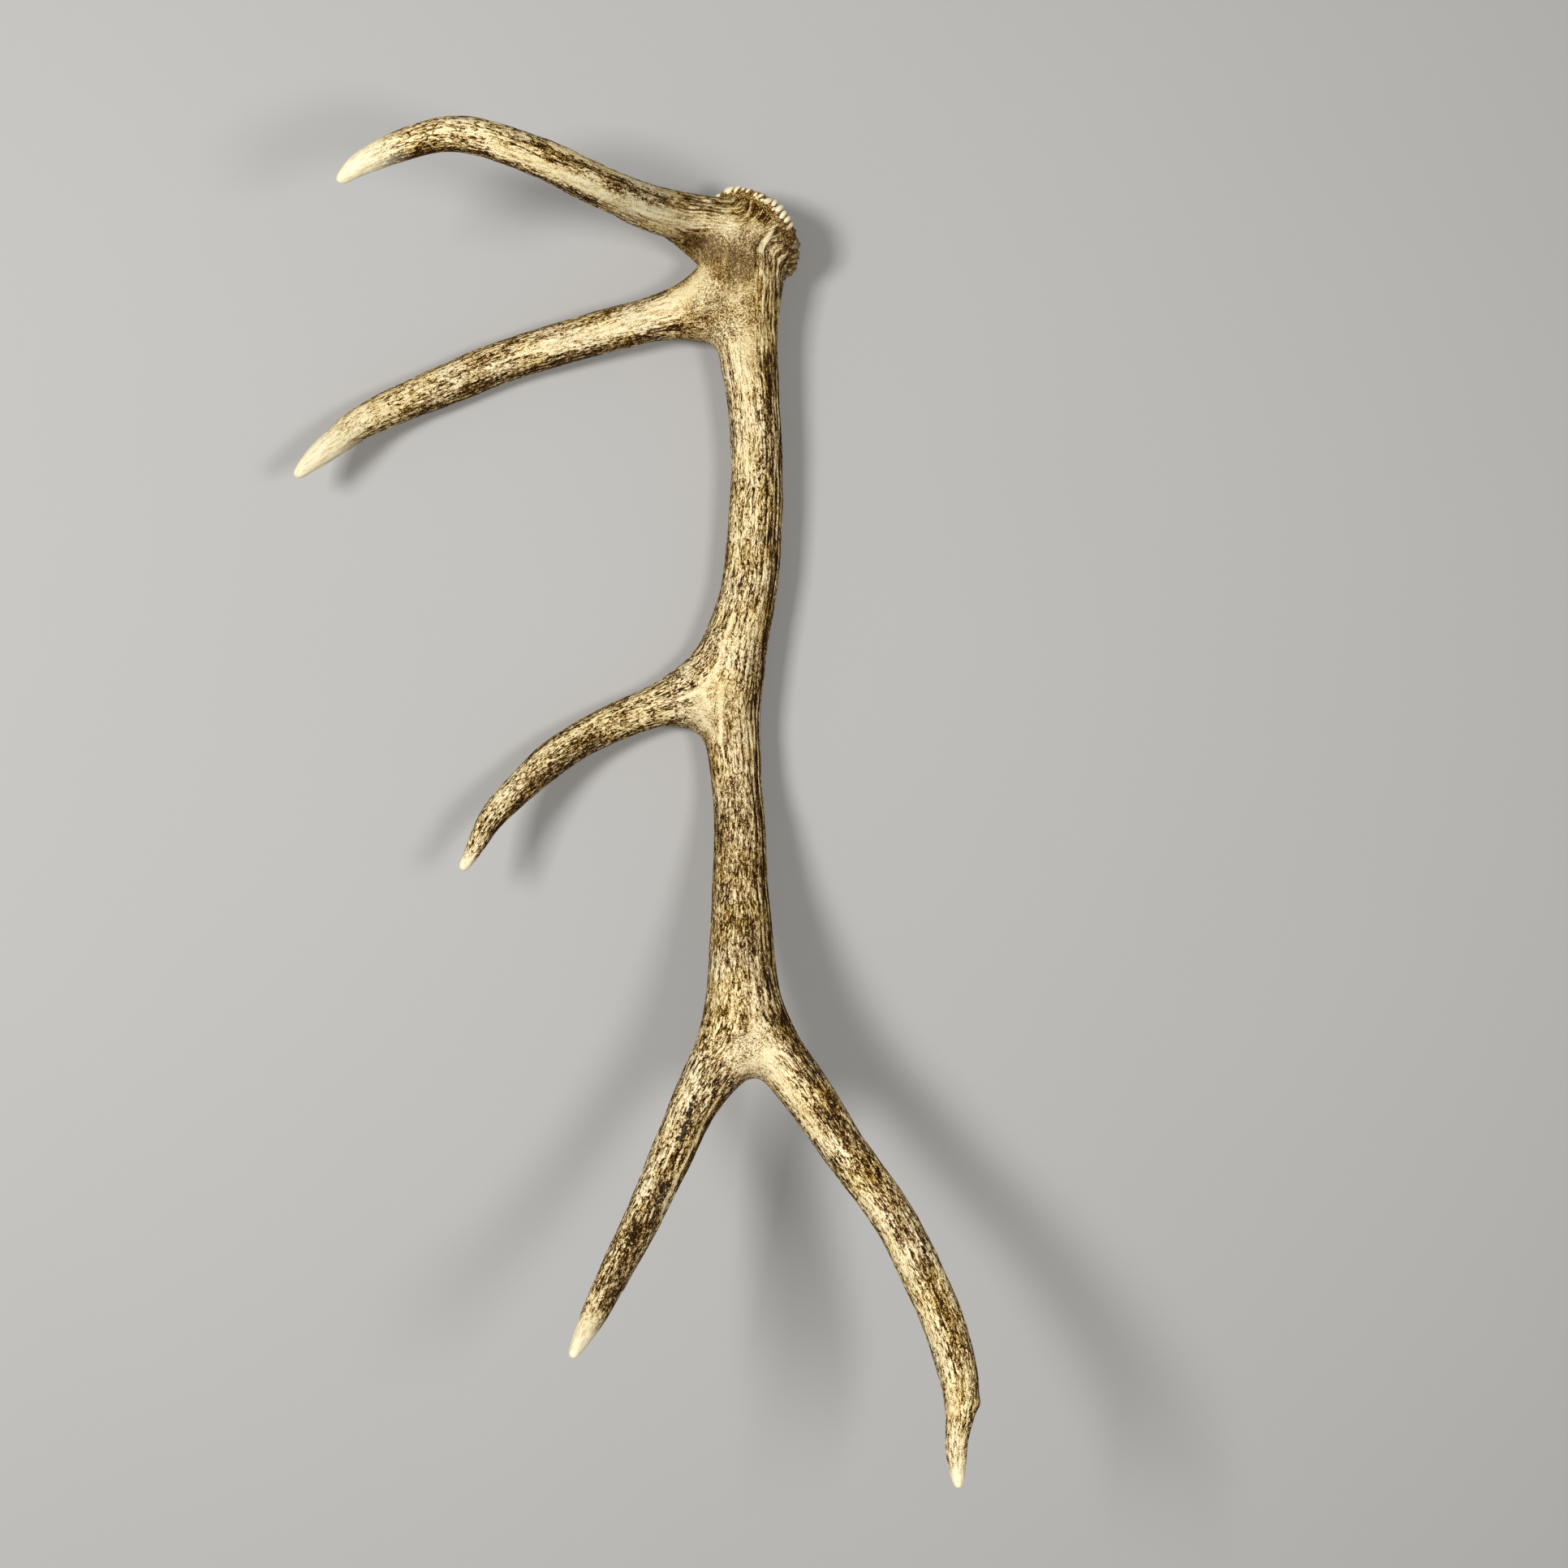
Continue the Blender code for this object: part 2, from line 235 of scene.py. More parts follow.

# Where the bone is darker (above 0) or paler (below 0) than elsewhere: the line that it follows,
# how far it reaches around that line, and by how much. Millimetres.
STAINS = (
    # Brow tine: a brown band along its upper side and a pale one along its lower side.
    (((-31, 6, 41), (-53, 7, 55)), 8.0, 0.25),
    (((-74, 3, 85), (-98, 6, 122), (-119, 12, 148), (-139, 16, 167), (-174, 26, 186)), 6.5, 0.38),
    (((-63, 12, 61), (-83, 12, 92), (-106, 15, 128), (-129, 20, 154), (-151, 26, 172)), 3.2, -1.0),
    (((-22, -9, 41), (-50, -7, 51), (-74, -8, 82), (-89, -7, 104)), 6.0, -0.55),
    (((-89, -7, 104), (-115, -4, 138), (-139, 4, 163), (-166, 13, 181), (-190, 18, 190)), 6.5, -0.6),
    (((-57, -15, 48), (-72, -13, 72), (-95, -10, 107), (-117, -4, 140), (-140, 2, 162)), 5.0, -0.3),
    (((-60, -19, 38), (-72, -17, 62), (-95, -14, 99), (-118, -8, 134)), 4.0, -0.45),
    (((-120, -9, 133), (-136, -4, 150), (-154, 2, 163), (-187, 12, 183)), 2.5, 0.4),
    (((-175, 9, 177), (-198, 15, 187), (-221, 18, 190), (-245, 15, 192), (-268, 9, 195)), 4.0, 0.45),
    (((-80, -4, 92), (-59, -8, 61), (-48, -4, 54)), 8.0, -0.3),
    (((-238, 22, 199), (-220, 27, 198), (-197, 25, 194)), 8.0, -0.1),
    (((-190, 36, 190), (-260, 30, 200)), 11.0, -0.12),
    (((-217, 22, 195), (-272, 15, 200)), 8.0, 0.24),
    (((-272, 20, 190), (-306, -4, 188)), 16.0, -0.45),
    # Under the rim of the burr.
    (((-27, 12, 33), (-8, 8, 31), (5, 2, 30), (16, -8, 27), (21, -18, 22)), 7.0, 0.26),
    # The hollow between brow and bez, and the base below it.
    (((-40, -20, 29), (-19, -31, 35), (-11, -40, 33)), 10.0, 0.36),
    (((-43, -22, 23), (-40, -33, 22), (-29, -42, 30)), 8.0, 0.3),
    # Bez tine: pale along its middle, brown along its edges.
    (((-87, -72, 14), (-68, -64, 16), (-55, -53, 17), (-47, -44, 18)), 9.0, -0.75),
    (((-100, -79, 13), (-132, -89, 14), (-164, -96, 14), (-190, -102, 14)), 6.5, -0.5),
    (((-40, -75, 21), (-61, -83, 13), (-87, -90, 6)), 5.0, 0.3),
    (((-87, -90, 6), (-126, -100, 6), (-165, -110, 7), (-203, -122, 9), (-235, -134, 13)), 4.5, 0.36),
    (((-113, -72, 11), (-151, -85, 12), (-190, -97, 13), (-222, -110, 16)), 4.5, 0.42),
    (((-222, -114, 16), (-254, -134, 20)), 7.0, 0.16),
    (((-237, -119, 17), (-279, -135, 24)), 10.0, -0.2),
    (((-300, -150, 30), (-359, -206, 60)), 16.0, -0.42),
    # Lower beam: pale down its middle, browner to the right of it.
    (((7, -112, 12), (6, -160, 9), (5, -215, 7), (3, -262, 5)), 6.5, 0.3),
    (((-14, -100, 22), (-8, -190, 14)), 12.0, -0.4),
    (((-3, -95, 21), (0, -118, 18)), 8.0, -0.2),
    (((-10, -190, 14), (-12, -250, 10)), 9.0, -0.16),
    (((-13, -261, 6), (-19, -297, 5)), 12.0, -0.18),
    # Trez fork and tine.
    (((-30, -340, 12), (-46, -392, 6)), 16.0, -0.2),
    (((-41, -349, 5), (-23, -392, 7)), 16.0, -0.12),
    (((-47, -391, 3), (-36, -405, 0)), 10.0, -0.3),
    (((-3, -390, -4), (-8, -405, -4)), 10.0, -0.36),
    (((-130, -408, 12), (-158, -412, 10), (-185, -440, 30)), 11.0, 0.3),
    (((-210, -489, 54), (-188, -462, 37), (-164, -436, 22), (-133, -417, 7)), 5.5, 0.5),
    (((-205, -458, 44), (-189, -436, 28), (-164, -417, 18), (-139, -402, 9)), 4.5, -0.35),
    (((-222, -498, 56), (-230, -512, 62)), 8.0, -0.3),
    # Upper beam: browner, and darker down its right side.
    (((-30, -480, 15), (-21, -586, 80)), 16.0, 0.15),
    (((-29, -468, 10), (-30, -494, 19)), 6.0, 0.25),
    (((1, -507, 25), (5, -544, 42)), 6.0, 0.2),
    (((-10, -440, 3), (-8, -551, 58), (2, -600, 82)), 10.0, 0.36),
    (((-27, -608, 89), (-20, -590, 84)), 11.0, -0.18),
    (((-6, -400, -1), (-6, -426, 0), (-6, -446, 4), (-6, -468, 13), (-6, -487, 21)), 1.5, -0.45),
    (((-2, -507, 27), (-1, -525, 38), (-1, -546, 51), (-1, -561, 61), (-2, -581, 76)), 1.5, -0.4),
    (((-2, -581, 76), (-3, -601, 89), (-3, -619, 98), (-5, -637, 105)), 1.8, -0.5),
    (((-9, -412, 2), (-9, -428, 3), (-10, -446, 7), (-11, -468, 15)), 1.4, -0.35),
    # Far fork and its two tines.
    (((-12, -666, 105), (7, -653, 107), (19, -674, 108), (32, -692, 113), (58, -722, 122)), 7.0, -0.5),
    (((-36, -668, 111), (-26, -672, 110), (-14, -660, 107)), 7.0, 0.22),
    (((-29, -659, 110), (-33, -671, 112)), 10.0, 0.3),
    (((-52, -671, 110), (-69, -709, 130)), 8.0, -0.3),
    (((-29, -684, 109), (-46, -713, 124), (-60, -741, 143), (-74, -768, 165)), 2.0, -0.9),
    (
        ((-26, -685, 105), (-34, -699, 110), (-43, -714, 119), (-50, -729, 129), (-58, -744, 140)),
        2.8,
        1.1,
    ),
    (
        ((-32, -683, 112), (-49, -712, 127), (-63, -740, 147), (-76, -767, 169), (-105, -817, 222)),
        2.4,
        0.6,
    ),
    (
        ((-40, -683, 116), (-55, -712, 131), (-69, -739, 150), (-82, -766, 173), (-109, -817, 225)),
        2.2,
        0.5,
    ),
    (((-36, -683, 115), (-52, -712, 130), (-66, -740, 149), (-79, -767, 171)), 1.6, -0.4),
    (((-69, -712, 131), (-81, -734, 145), (-92, -756, 161), (-102, -782, 188)), 6.0, -0.2),
    (((-60, -722, 135), (-92, -790, 182)), 7.0, 0.36),
    (((-84, -761, 169), (-109, -819, 227)), 7.0, 0.28),
    (((-96, -802, 205), (-108, -822, 228)), 5.0, 0.5),
    (((18, -627, 94), (36, -655, 101), (53, -686, 114), (70, -719, 127), (87, -742, 135)), 8.0, 0.55),
    (((46, -689, 117), (67, -718, 126), (89, -747, 138), (108, -776, 151), (123, -804, 164)), 4.0, 0.2),
    (((99, -750, 138), (136, -834, 180)), 8.0, 0.24),
    (((124, -805, 165), (130, -823, 174), (138, -838, 182), (147, -863, 194)), 6.0, 0.5),
    (((138, -884, 199), (140, -900, 205)), 7.0, -0.3),
    (((70, -738, 131), (104, -790, 153), (138, -869, 195)), 8.0, -0.36),
    (((154, -875, 199), (143, -902, 208)), 9.0, -0.3),
    (((161, -896, 198), (163, -900, 197)), 4.0, -0.5),
    (((-118, -830, 230), (-130, -852, 256)), 16.0, -0.42),
    (((146, -925, 210), (146, -953, 223)), 14.0, -0.42),
)

# Nearly black ragged patches on the short tine: the line of each, and how far it reaches.
SCORCHES = (
    (((-48, -684, 118), (-54, -703, 127)), 3.0),
    (((-54, -703, 127), (-58, -713, 133)), 5.5),
    (((-68, -745, 153), (-74, -757, 162)), 5.5),
    (((-88, -771, 179), (-93, -782, 189)), 6.0),
)

# The dull hollow between the brow and bez tines, which has no grooves, and how far it reaches.
HOLLOW_LINE = ((-40, -20, 29), (-19, -31, 35), (-12, -42, 33))
HOLLOW_REACH = 17.0

# Painted shade: the bone is browner where it faces away from the upper left, where the light comes
# from.
SHADED_SIDE = (0.85, -0.53, 0.0)

# Where the grooves fan out from the burr over the front of the base. They start square to the rim
# and then turn, around this middle, along the brow tine or down the beam.
FAN_MIDDLE = (-45.0, -34.0)
FAN_BROW_EDGE = -22.0
FAN_BEAM_EDGE = -10.0
FAN_RIM_SPLIT = 8.0
FAN_PITCH = 2.8

# The deep grooves down the beam's right edge: how far around from its left side, in degrees, and
# how strong. Each has a crest beside it.
EDGE_GROOVE_WIDTH = 0.9
EDGE_CREST_OFFSET = 2.0
EDGE_GROOVES = (
    (113, 0.45),
    (129, 0.55),
    (141, 0.4),
    (152, 0.8),
    (164, 0.6),
)

# A small knot on the outer side of the long tine, near its tip.
KNOT_PLACE = (161, -898, 197)
KNOT_REACH = 5.0
KNOT_HEIGHT = 1.8

# The polished ends of the tines, and how far the grain is unsettled around a crotch.
TIP_WEAR = {"brow": 42, "bez": 52, "trez": 11, "short": 30, "long": 15}
CROTCH_REACH = 15.0

# Pale ridges that run over the forks, each as a line of points on the front of the bone, with how
# far each reaches, how far the browner bone beside it reaches, and how high it stands.
RIDGE_REACH = 2.1
RIDGE_FLANK = 6.0
RIDGE_HEIGHT = 1.1
RIDGES = (
    ((-20, -312, 7), (-28, -336, 7), (-32, -351, 7), (-41, -367, 7), (-50, -373, 6), (-64, -379, 3)),
    ((-45, -370, 6), (-43, -377, 7), (-39, -385, 6)),
    ((-30, -367, 8), (-30, -391, 7), (-30, -413, 4)),
    ((14, -4, 28), (5, -18, 31), (1, -26, 32)),
)

# The collar of the burr from the middle of the seal, over the rim and into the neck: how far out
# and up each point lies, and how far a fold of the rim moves it up and out.
COLLAR = (
    (0.0, 7.4, 0.0, 0.0),
    (12.0, 7.2, 0.0, 0.0),
    (24.0, 6.7, 0.0, 0.0),
    (28.6, 6.0, 0.0, 0.0),
    (30.6, 4.0, 0.2, 0.0),
    (34.5, 3.1, 1.0, 0.0),
    (38.2, 2.8, 1.6, 0.3),
    (40.0, 1.6, 1.4, 0.8),
    (40.7, -0.6, 0.8, 1.3),
    (40.2, -3.0, 0.2, 1.3),
    (38.0, -6.0, 0.0, 0.8),
    (30.0, -9.0, 0.0, 0.0),
    (0.0, -10.0, 0.0, 0.0),
)
COLLAR_RADIUS = 42.0
COLLAR_TURNS = 288
COLLAR_ROWS = 110

# How far inside the rim the middle of a pearl lies, and how far the rim is smoothed, in rounds, to
# find which of its points lie in gaps.
PEARL_SINK = 2.6
SINK_ROUNDS = 14

# The camera and the two lights, placed in the antler's frame. Each light has the length of its
# sides in metres, and the number of times that it has the power set for the stage.
CAMERA_PLACE = (20.1, -446.3, 2270.4)
CAMERA_LENS = 65.2
CAMERA_SENSOR = 36.0
LIGHT_TARGET = (-60.0, -440.0, 0.0)
LIGHTS = (
    ("left_light", (-1401, -139, 2719), 0.7, 1.9),
    ("right_light", (1019, -500, 2297), 0.6, 0.6),
)
SKY_COLOUR = (1.0, 0.99, 0.97, 1.0)

# The most that a bone piece may be off its solid's box, in metres.
PLACE_TOLERANCE = 0.006

# What the bone's finish reads from the mesh, one number for each vertex.
BONE_FIELDS = (
    "girth",
    # hollow also carries painted shade along the branches' edges and in the burr's gaps.
    "hollow",
    "scorch",
    "crest",
    "grooved",
    "stain",
    "polish",
    "loose",
    "calm",
    "fan",
    "fan_across",
    "fan_along",
    "dust",
)


def piece_name(node):
    """The name of the bone piece that stands for one of the frame's solids."""
    return node + "_bone"


# ---------------------------------------------------------------------------------------------
# Curves and noise
# ---------------------------------------------------------------------------------------------


def smooth_curve(stations, step):
    """Values spaced evenly along the natural cubic curve through the stations, with its slopes."""
    points = np.array(stations, dtype=float)
    spans = np.linalg.norm(np.diff(points[:, :3], axis=0), axis=1)
    knots = np.concatenate(([0.0], np.cumsum(spans)))
    system = np.eye(len(points))
    change = np.zeros_like(points)
    for i in range(1, len(points) - 1):
        before, after = spans[i - 1], spans[i]
        system[i, i - 1 : i + 2] = before / 6, (before + after) / 3, after / 6
        change[i] = (points[i + 1] - points[i]) / after - (points[i] - points[i - 1]) / before
    bend = np.linalg.solve(system, change)

    places = np.linspace(0.0, knots[-1], max(2, round(knots[-1] / step) + 1))
    i = np.clip(np.searchsorted(knots, places, side="right") - 1, 0, len(spans) - 1)
    span = spans[i, None]
    b = (places[:, None] - knots[i, None]) / span
    a = 1.0 - b
    values = a * points[i] + b * points[i + 1]
    values += ((a**3 - a) * bend[i] + (b**3 - b) * bend[i + 1]) * span**2 / 6
    slopes = (points[i + 1] - points[i]) / span
    slopes += ((3 * b**2 - 1) * bend[i + 1] - (3 * a**2 - 1) * bend[i]) * span / 6
    return values, slopes[:, :3]


def smoothstep(low, high, values):
    """0 below low, 1 above high and a smooth rise between them."""
    t = np.clip((values - low) / (high - low), 0.0, 1.0)
    return t * t * (3.0 - 2.0 * t)


def gradient_noise(points, seed):
    """Smooth random values, about -1 to 1, with one bump or hollow for each unit of length."""
    spread = np.random.default_rng(seed)
    table = np.tile(spread.permutation(256), 2)
    slopes = spread.normal(size=(256, 3))
    slopes /= np.linalg.norm(slopes, axis=1)[:, None]
    cell = np.floor(points).astype(int)
    inside = points - cell
    fade = inside**3 * (inside * (inside * 6.0 - 15.0) + 10.0)
    total = np.zeros(len(points))
    for corner in np.ndindex(2, 2, 2):
        x, y, z = ((cell + corner) & 255).T
        slope = slopes[table[table[table[x] + y] + z]]
        weight = np.where(corner, fade, 1.0 - fade).prod(axis=1)
        total += weight * (slope * (inside - corner)).sum(axis=1)
    return total * 1.7


def distance_to_line(points, start, end):
    """How far each point is from the straight line between two points."""
    start, end = np.array(start, dtype=float), np.array(end, dtype=float)
    along = end - start
    share = np.clip((points - start) @ along / max(along @ along, 1e-9), 0.0, 1.0)
    return np.linalg.norm(points - start - share[:, None] * along, axis=1)


# ---------------------------------------------------------------------------------------------
# The cage: rings of eight points along every branch, joined at the forks
# ---------------------------------------------------------------------------------------------


class Ring:
    """A ring of the cage, its distance from the burr along the bone, and its mean radius."""

    def __init__(self, points, place, girth):
        self.points = points
        self.place = place
        self.girth = girth


class Cage:
    """The closed cage of the whole antler. Each face knows its branch and its place on it."""

    def __init__(self):
        self.mesh = bmesh.new()
        self.grain = self.mesh.loops.layers.uv.new("grain")
        self.roots = {}
        self.girths = {name: [] for name in BRANCH_NAMES}

    def face(self, points, places, branch):
        """A face whose corners carry their share of the way around and the way along."""
        made = self.mesh.faces.new(points)
        made.material_index = BRANCH_NAMES.index(branch)
        for loop, place in zip(made.loops, places):
            loop[self.grain].uv = place

    def ring(self, centre, along, half_width, half_depth, place):
        """Eight points around the centre, from the left side by the front to the right and back."""
        across = along.cross(Vector((0.0, 0.0, 1.0))).normalized()
        front = across.cross(along).normalized()
        points = []
        for i in range(SIDES):
            angle = 2 * pi * i / SIDES
            offset = across * cos(angle) * half_width + front * sin(angle) * half_depth
            points.append(self.mesh.verts.new(centre + offset / ROUNDING))
        return Ring(points, place, (half_width + half_depth) / 2)

    def between(self, first, second, share, pull):
        """A ring some share of the way from one ring to the next, drawn in toward its middle."""
        pairs = list(zip(first.points, second.points))
        middle = sum((a.co.lerp(b.co, share) for a, b in pairs), Vector()) / len(pairs)
        points = []
        for a, b in pairs:
            reach = a.co.lerp(b.co, share) - middle
            points.append(self.mesh.verts.new(middle + reach * pull))
        place = first.place + (second.place - first.place) * share
        return Ring(points, place, first.girth + (second.girth - first.girth) * share)

    def bridge(self, first, second, branch):
        """A band of quads from one ring to the next."""
        self.girths[branch] += [(ring.place, ring.girth) for ring in (first, second)]
        for i in range(SIDES):
            j = (i + 1) % SIDES
            corners = (first.points[i], second.points[i], second.points[j], first.points[j])
            near, far = first.place, second.place
            left, right = i / SIDES, (i + 1) / SIDES
            self.face(corners, ((left, near), (left, far), (right, far), (right, near)), branch)

    def fork(self, outline, place):
        """The three half rings in which a fork's branches meet.

        Returns the rings that end the branch before the fork, and begin its left and right ones.
        """
        front = Vector(outline["front"])
        back = Vector(outline["back"])
        middle = (front + back) / 2
        half = (front - back) / 2
        poles = [self.mesh.verts.new(middle + side * half / ROUNDING) for side in (1, -1)]
        arcs = {}
        for side in ("left", "crotch", "right"):
            reach = Vector(outline[side]) - middle
            arcs[side] = []
            for i in range(1, SIDES // 2):
                angle = 2 * pi * i / SIDES
                offset = reach * sin(angle) + half * cos(angle)
                arcs[side].append(self.mesh.verts.new(middle + offset / ROUNDING))

        def loop(left, right):
            upper_left, outer_left, lower_left = arcs[left]
            points = [outer_left, upper_left, poles[0], *arcs[right], poles[1], lower_left]
            return Ring(points, place, outline["girth"])

        return loop("left", "right"), loop("left", "crotch"), loop("crotch", "right")

    def branch(self, stations, depth_ratio, root, name):
        """The rings along a branch, joined to its root and to each other."""
        values, slopes = smooth_curve(stations, RING_STEP)
        steps = np.linalg.norm(np.diff(values[:, :3], axis=0), axis=1)
        start = root.place + (Vector(values[0][:3]) - middle_of(root)).length
        places = start + np.concatenate(([0.0], np.cumsum(steps)))
        rings = [root]
        for (x, y, z, half), slope, place in zip(values, slopes, places):
            along = Vector(slope).normalized()
            rings.append(self.ring(Vector((x, y, z)), along, half, half * depth_ratio, place))
        for first, second in zip(rings, rings[1:]):
            self.bridge(first, second, name)
        self.roots[name] = places[0], places[1], places[-1]
        return rings[-1], Vector(values[-1][:3]), Vector(slopes[-1]).normalized()

    def tine(self, stations, root, name):
        """A branch that starts from a fork's ring and closes in a tip."""
        last, centre, along = self.branch(stations, TINE_DEPTH, root, name)
        tip = self.mesh.verts.new(centre + along * TIP_LENGTH)
        near, far = last.place, last.place + TIP_LENGTH
        for i in range(SIDES):
            corners = (last.points[i], tip, last.points[(i + 1) % SIDES])
            left, right = i / SIDES, (i + 1) / SIDES
            self.face(corners, ((left, near), ((left + right) / 2, far), (right, near)), name)


def middle_of(ring):
    """The middle of a ring's points."""
    return sum((point.co for point in ring.points), Vector()) / len(ring.points)


def place_after(ring, outline):
    """How far from the burr a fork lies that comes after a ring."""
    middle = (Vector(outline["front"]) + Vector(outline["back"])) / 2
    return ring.place + (middle - middle_of(ring)).length


def antler_cage():
    """The whole antler as one closed cage."""
    cage = Cage()
    inward = -BURR_AXIS
    edge = BURR_CENTRE - BURR_AXIS * LIP_DROP
    tucked = edge + BURR_AXIS * LIP_TUCK
    tuck = cage.ring(tucked, inward, LIP_HALF_WIDTH - 2, LIP_HALF_DEPTH - 2, 0.0)
    lip = cage.ring(edge, inward, LIP_HALF_WIDTH, LIP_HALF_DEPTH, LIP_TUCK)
    cage.face(tuck.points, [(i / SIDES, 0.0) for i in range(SIDES)], "stem")
    cage.bridge(tuck, lip, "stem")

    place = place_after(lip, BROW_FORK)
    before, brow_root, below_brow = cage.fork(BROW_FORK, place)
    throat = cage.between(lip, before, THROAT_SHARE, THROAT_PULL)
    cage.bridge(lip, throat, "stem")
    cage.bridge(throat, before, "stem")
    place = place_after(below_brow, BEZ_FORK)
    before, bez_root, below_bez = cage.fork(BEZ_FORK, place)
    cage.bridge(below_brow, before, "stem")

    last, _, _ = cage.branch(BEAM_LOWER, BEAM_DEPTH, below_bez, "lower")
    place = place_after(last, TREZ_FORK)
    before, trez_root, below_trez = cage.fork(TREZ_FORK, place)
    cage.bridge(last, before, "lower")

    last, _, _ = cage.branch(BEAM_UPPER, BEAM_DEPTH, below_trez, "upper")
    place = place_after(last, FAR_FORK)
    before, short_root, long_root = cage.fork(FAR_FORK, place)
    cage.bridge(last, before, "upper")

    cage.tine(BROW_TINE, brow_root, "brow")
    cage.tine(BEZ_TINE, bez_root, "bez")
    cage.tine(TREZ_TINE, trez_root, "trez")
    cage.tine(SHORT_TINE, short_root, "short")
    cage.tine(LONG_TINE, long_root, "long")
    return cage


# ---------------------------------------------------------------------------------------------
# Meshes as arrays
# ---------------------------------------------------------------------------------------------


def read(collection, field, width, kind=float):
    """One field of a mesh's vertices, loops or faces as an array."""
    values = np.zeros(len(collection) * width, dtype=kind)
    collection.foreach_get(field, values)
    return values.reshape(-1, width) if width > 1 else values


def object_of(mesh, name):
    """A new object in the scene that holds the mesh."""
    made = bpy.data.objects.new(name, mesh)
    bpy.context.scene.collection.objects.link(made)
    return made


def evaluated(thing, name):
    """The object's mesh with its modifiers, while the object itself is removed."""
    graph = bpy.context.evaluated_depsgraph_get()
    mesh = bpy.data.meshes.new_from_object(thing.evaluated_get(graph))
    mesh.name = name
    bpy.data.objects.remove(thing)
    return mesh


def neighbour_mean(values, edges):
    """For each vertex, the mean of the values at the vertices joined to it."""
    total = np.zeros_like(values)
    count = np.zeros(len(values))
    for here, there in (edges.T, edges.T[::-1]):
        np.add.at(total, here, values[there])
        np.add.at(count, here, 1.0)
    return total / np.maximum(count, 1.0).reshape(-1, *[1] * (values.ndim - 1))


def write_attribute(mesh, name, values):
    """Store one number for each vertex, for the bone's finish to read."""
    layer = mesh.attributes.new(name, "FLOAT", "POINT")
    layer.data.foreach_set("value", values.astype(np.float32))


def laid_down(points):
    """Points of the antler's own frame, turned and moved to where the antler lies."""
    return points @ np.array(LIE.to_3x3()).T + np.array(LIE_PLACE)


class Tree:
    """A node tree, with short ways to add to it."""

    def __init__(self, tree):
        self.tree = tree

    def add(self, kind, **settings):
        """A new node with its own properties set."""
        node = self.tree.nodes.new(kind)
        for name, value in settings.items():
            setattr(node, name, value)
        return node

    def feed(self, target, value):
        """Link an output to a socket, or set the socket's own value."""
        if isinstance(value, bpy.types.NodeSocket):
            self.tree.links.new(value, target)
        else:
            target.default_value = value

    def fill(self, node, **inputs):
        """Link or set the named inputs of a node."""
        for name, value in inputs.items():
            self.feed(node.inputs[name], value)
        return node

    def math(self, operation, first, second=0.0, third=0.0):
        """Arithmetic on one to three values."""
        node = self.add("ShaderNodeMath", operation=operation)
        for target, value in zip(node.inputs, (first, second, third)):
            self.feed(target, value)
        return node.outputs[0]

    def joined(self, x, y, z):
        """Three numbers as one vector."""
        return self.fill(self.add("ShaderNodeCombineXYZ"), X=x, Y=y, Z=z).outputs[0]


# ---------------------------------------------------------------------------------------------
# The grown surface
# ---------------------------------------------------------------------------------------------


class Surface:
    """The smooth skin of the antler as arrays, in its own frame."""

    def __init__(self, levels):
        cage = antler_cage()
        data = bpy.data.meshes.new("cage")
        cage.mesh.to_mesh(data)
        cage.mesh.free()
        thing = object_of(data, "cage")
        smoothing = thing.modifiers.new("smoothing", "SUBSURF")
        smoothing.levels = levels
        smoothing.render_levels = levels
        smoothing.uv_smooth = "NONE"
        mesh = evaluated(thing, "skin")

        self.roots = cage.roots
        self.points = read(mesh.vertices, "co", 3)
        self.normals = read(mesh.vertices, "normal", 3)
        self.corners = read(mesh.loops, "vertex_index", 1, int).reshape(-1, 4)
        self.face_branch = read(mesh.polygons, "material_index", 1, int)
        self.grain = read(mesh.uv_layers["grain"].data, "uv", 2).reshape(-1, 4, 2)
        bpy.data.meshes.remove(mesh)

        self.branch = np.zeros(len(self.points), dtype=int)
        self.angle = np.zeros(len(self.points))
        self.place = np.zeros(len(self.points))
        self.branch[self.corners] = self.face_branch[:, None]
        self.angle[self.corners] = self.grain[:, :, 0] * 2 * pi
        self.place[self.corners] = self.grain[:, :, 1]
        self.girth = np.zeros(len(self.points))
        for number, name in enumerate(BRANCH_NAMES):
            here = self.branch == number
            places, girths = np.array(sorted(set(cage.girths[name]))).T
            eased = girths[0] - GIRTH_EASE * (places - places[0])
            if name != "stem":
                girths = np.maximum(girths, eased)
            self.girth[here] = np.interp(self.place[here], places, girths)

    def on(self, *names):
        """1 on the named branches and 0 elsewhere."""
        return np.isin(self.branch, [BRANCH_NAMES.index(name) for name in names]).astype(float)

    def straight(self, across, along):
        """The surface as a straight rod, for noise with bumps so many millimetres wide and long."""
        columns = cos_sin(self.angle) * self.girth[:, None] / across
        return np.column_stack((columns, self.place / along))


def cos_sin(angles):
    """The cosine and sine of each angle, side by side."""
    return np.column_stack((np.cos(angles), np.sin(angles)))


def nearness(points, line, reach):
    """1 along a line of points, falling to 0 over about its reach."""
    nearest = np.full(len(points), 1e9)
    for start, end in zip(line, line[1:]):
        nearest = np.minimum(nearest, distance_to_line(points, start, end))
    return np.exp(-((nearest / reach) ** 2))


def crotch_share(points):
    """1 in the crotches of the forks, where the grain of two branches meets, falling to 0."""
    share = np.zeros(len(points))
    for outline in FORKS:
        front, back = Vector(outline["front"]), Vector(outline["back"])
        crotch = Vector(outline["crotch"])
        middle = (front + back) / 2
        reach, half = crotch - middle, (front - back) / 2
        arc = [middle + reach * sin(a) + half * cos(a) for a in np.linspace(0.5, pi - 0.5, 9)]
        share = np.maximum(share, nearness(points, arc, CROTCH_REACH))
    return share


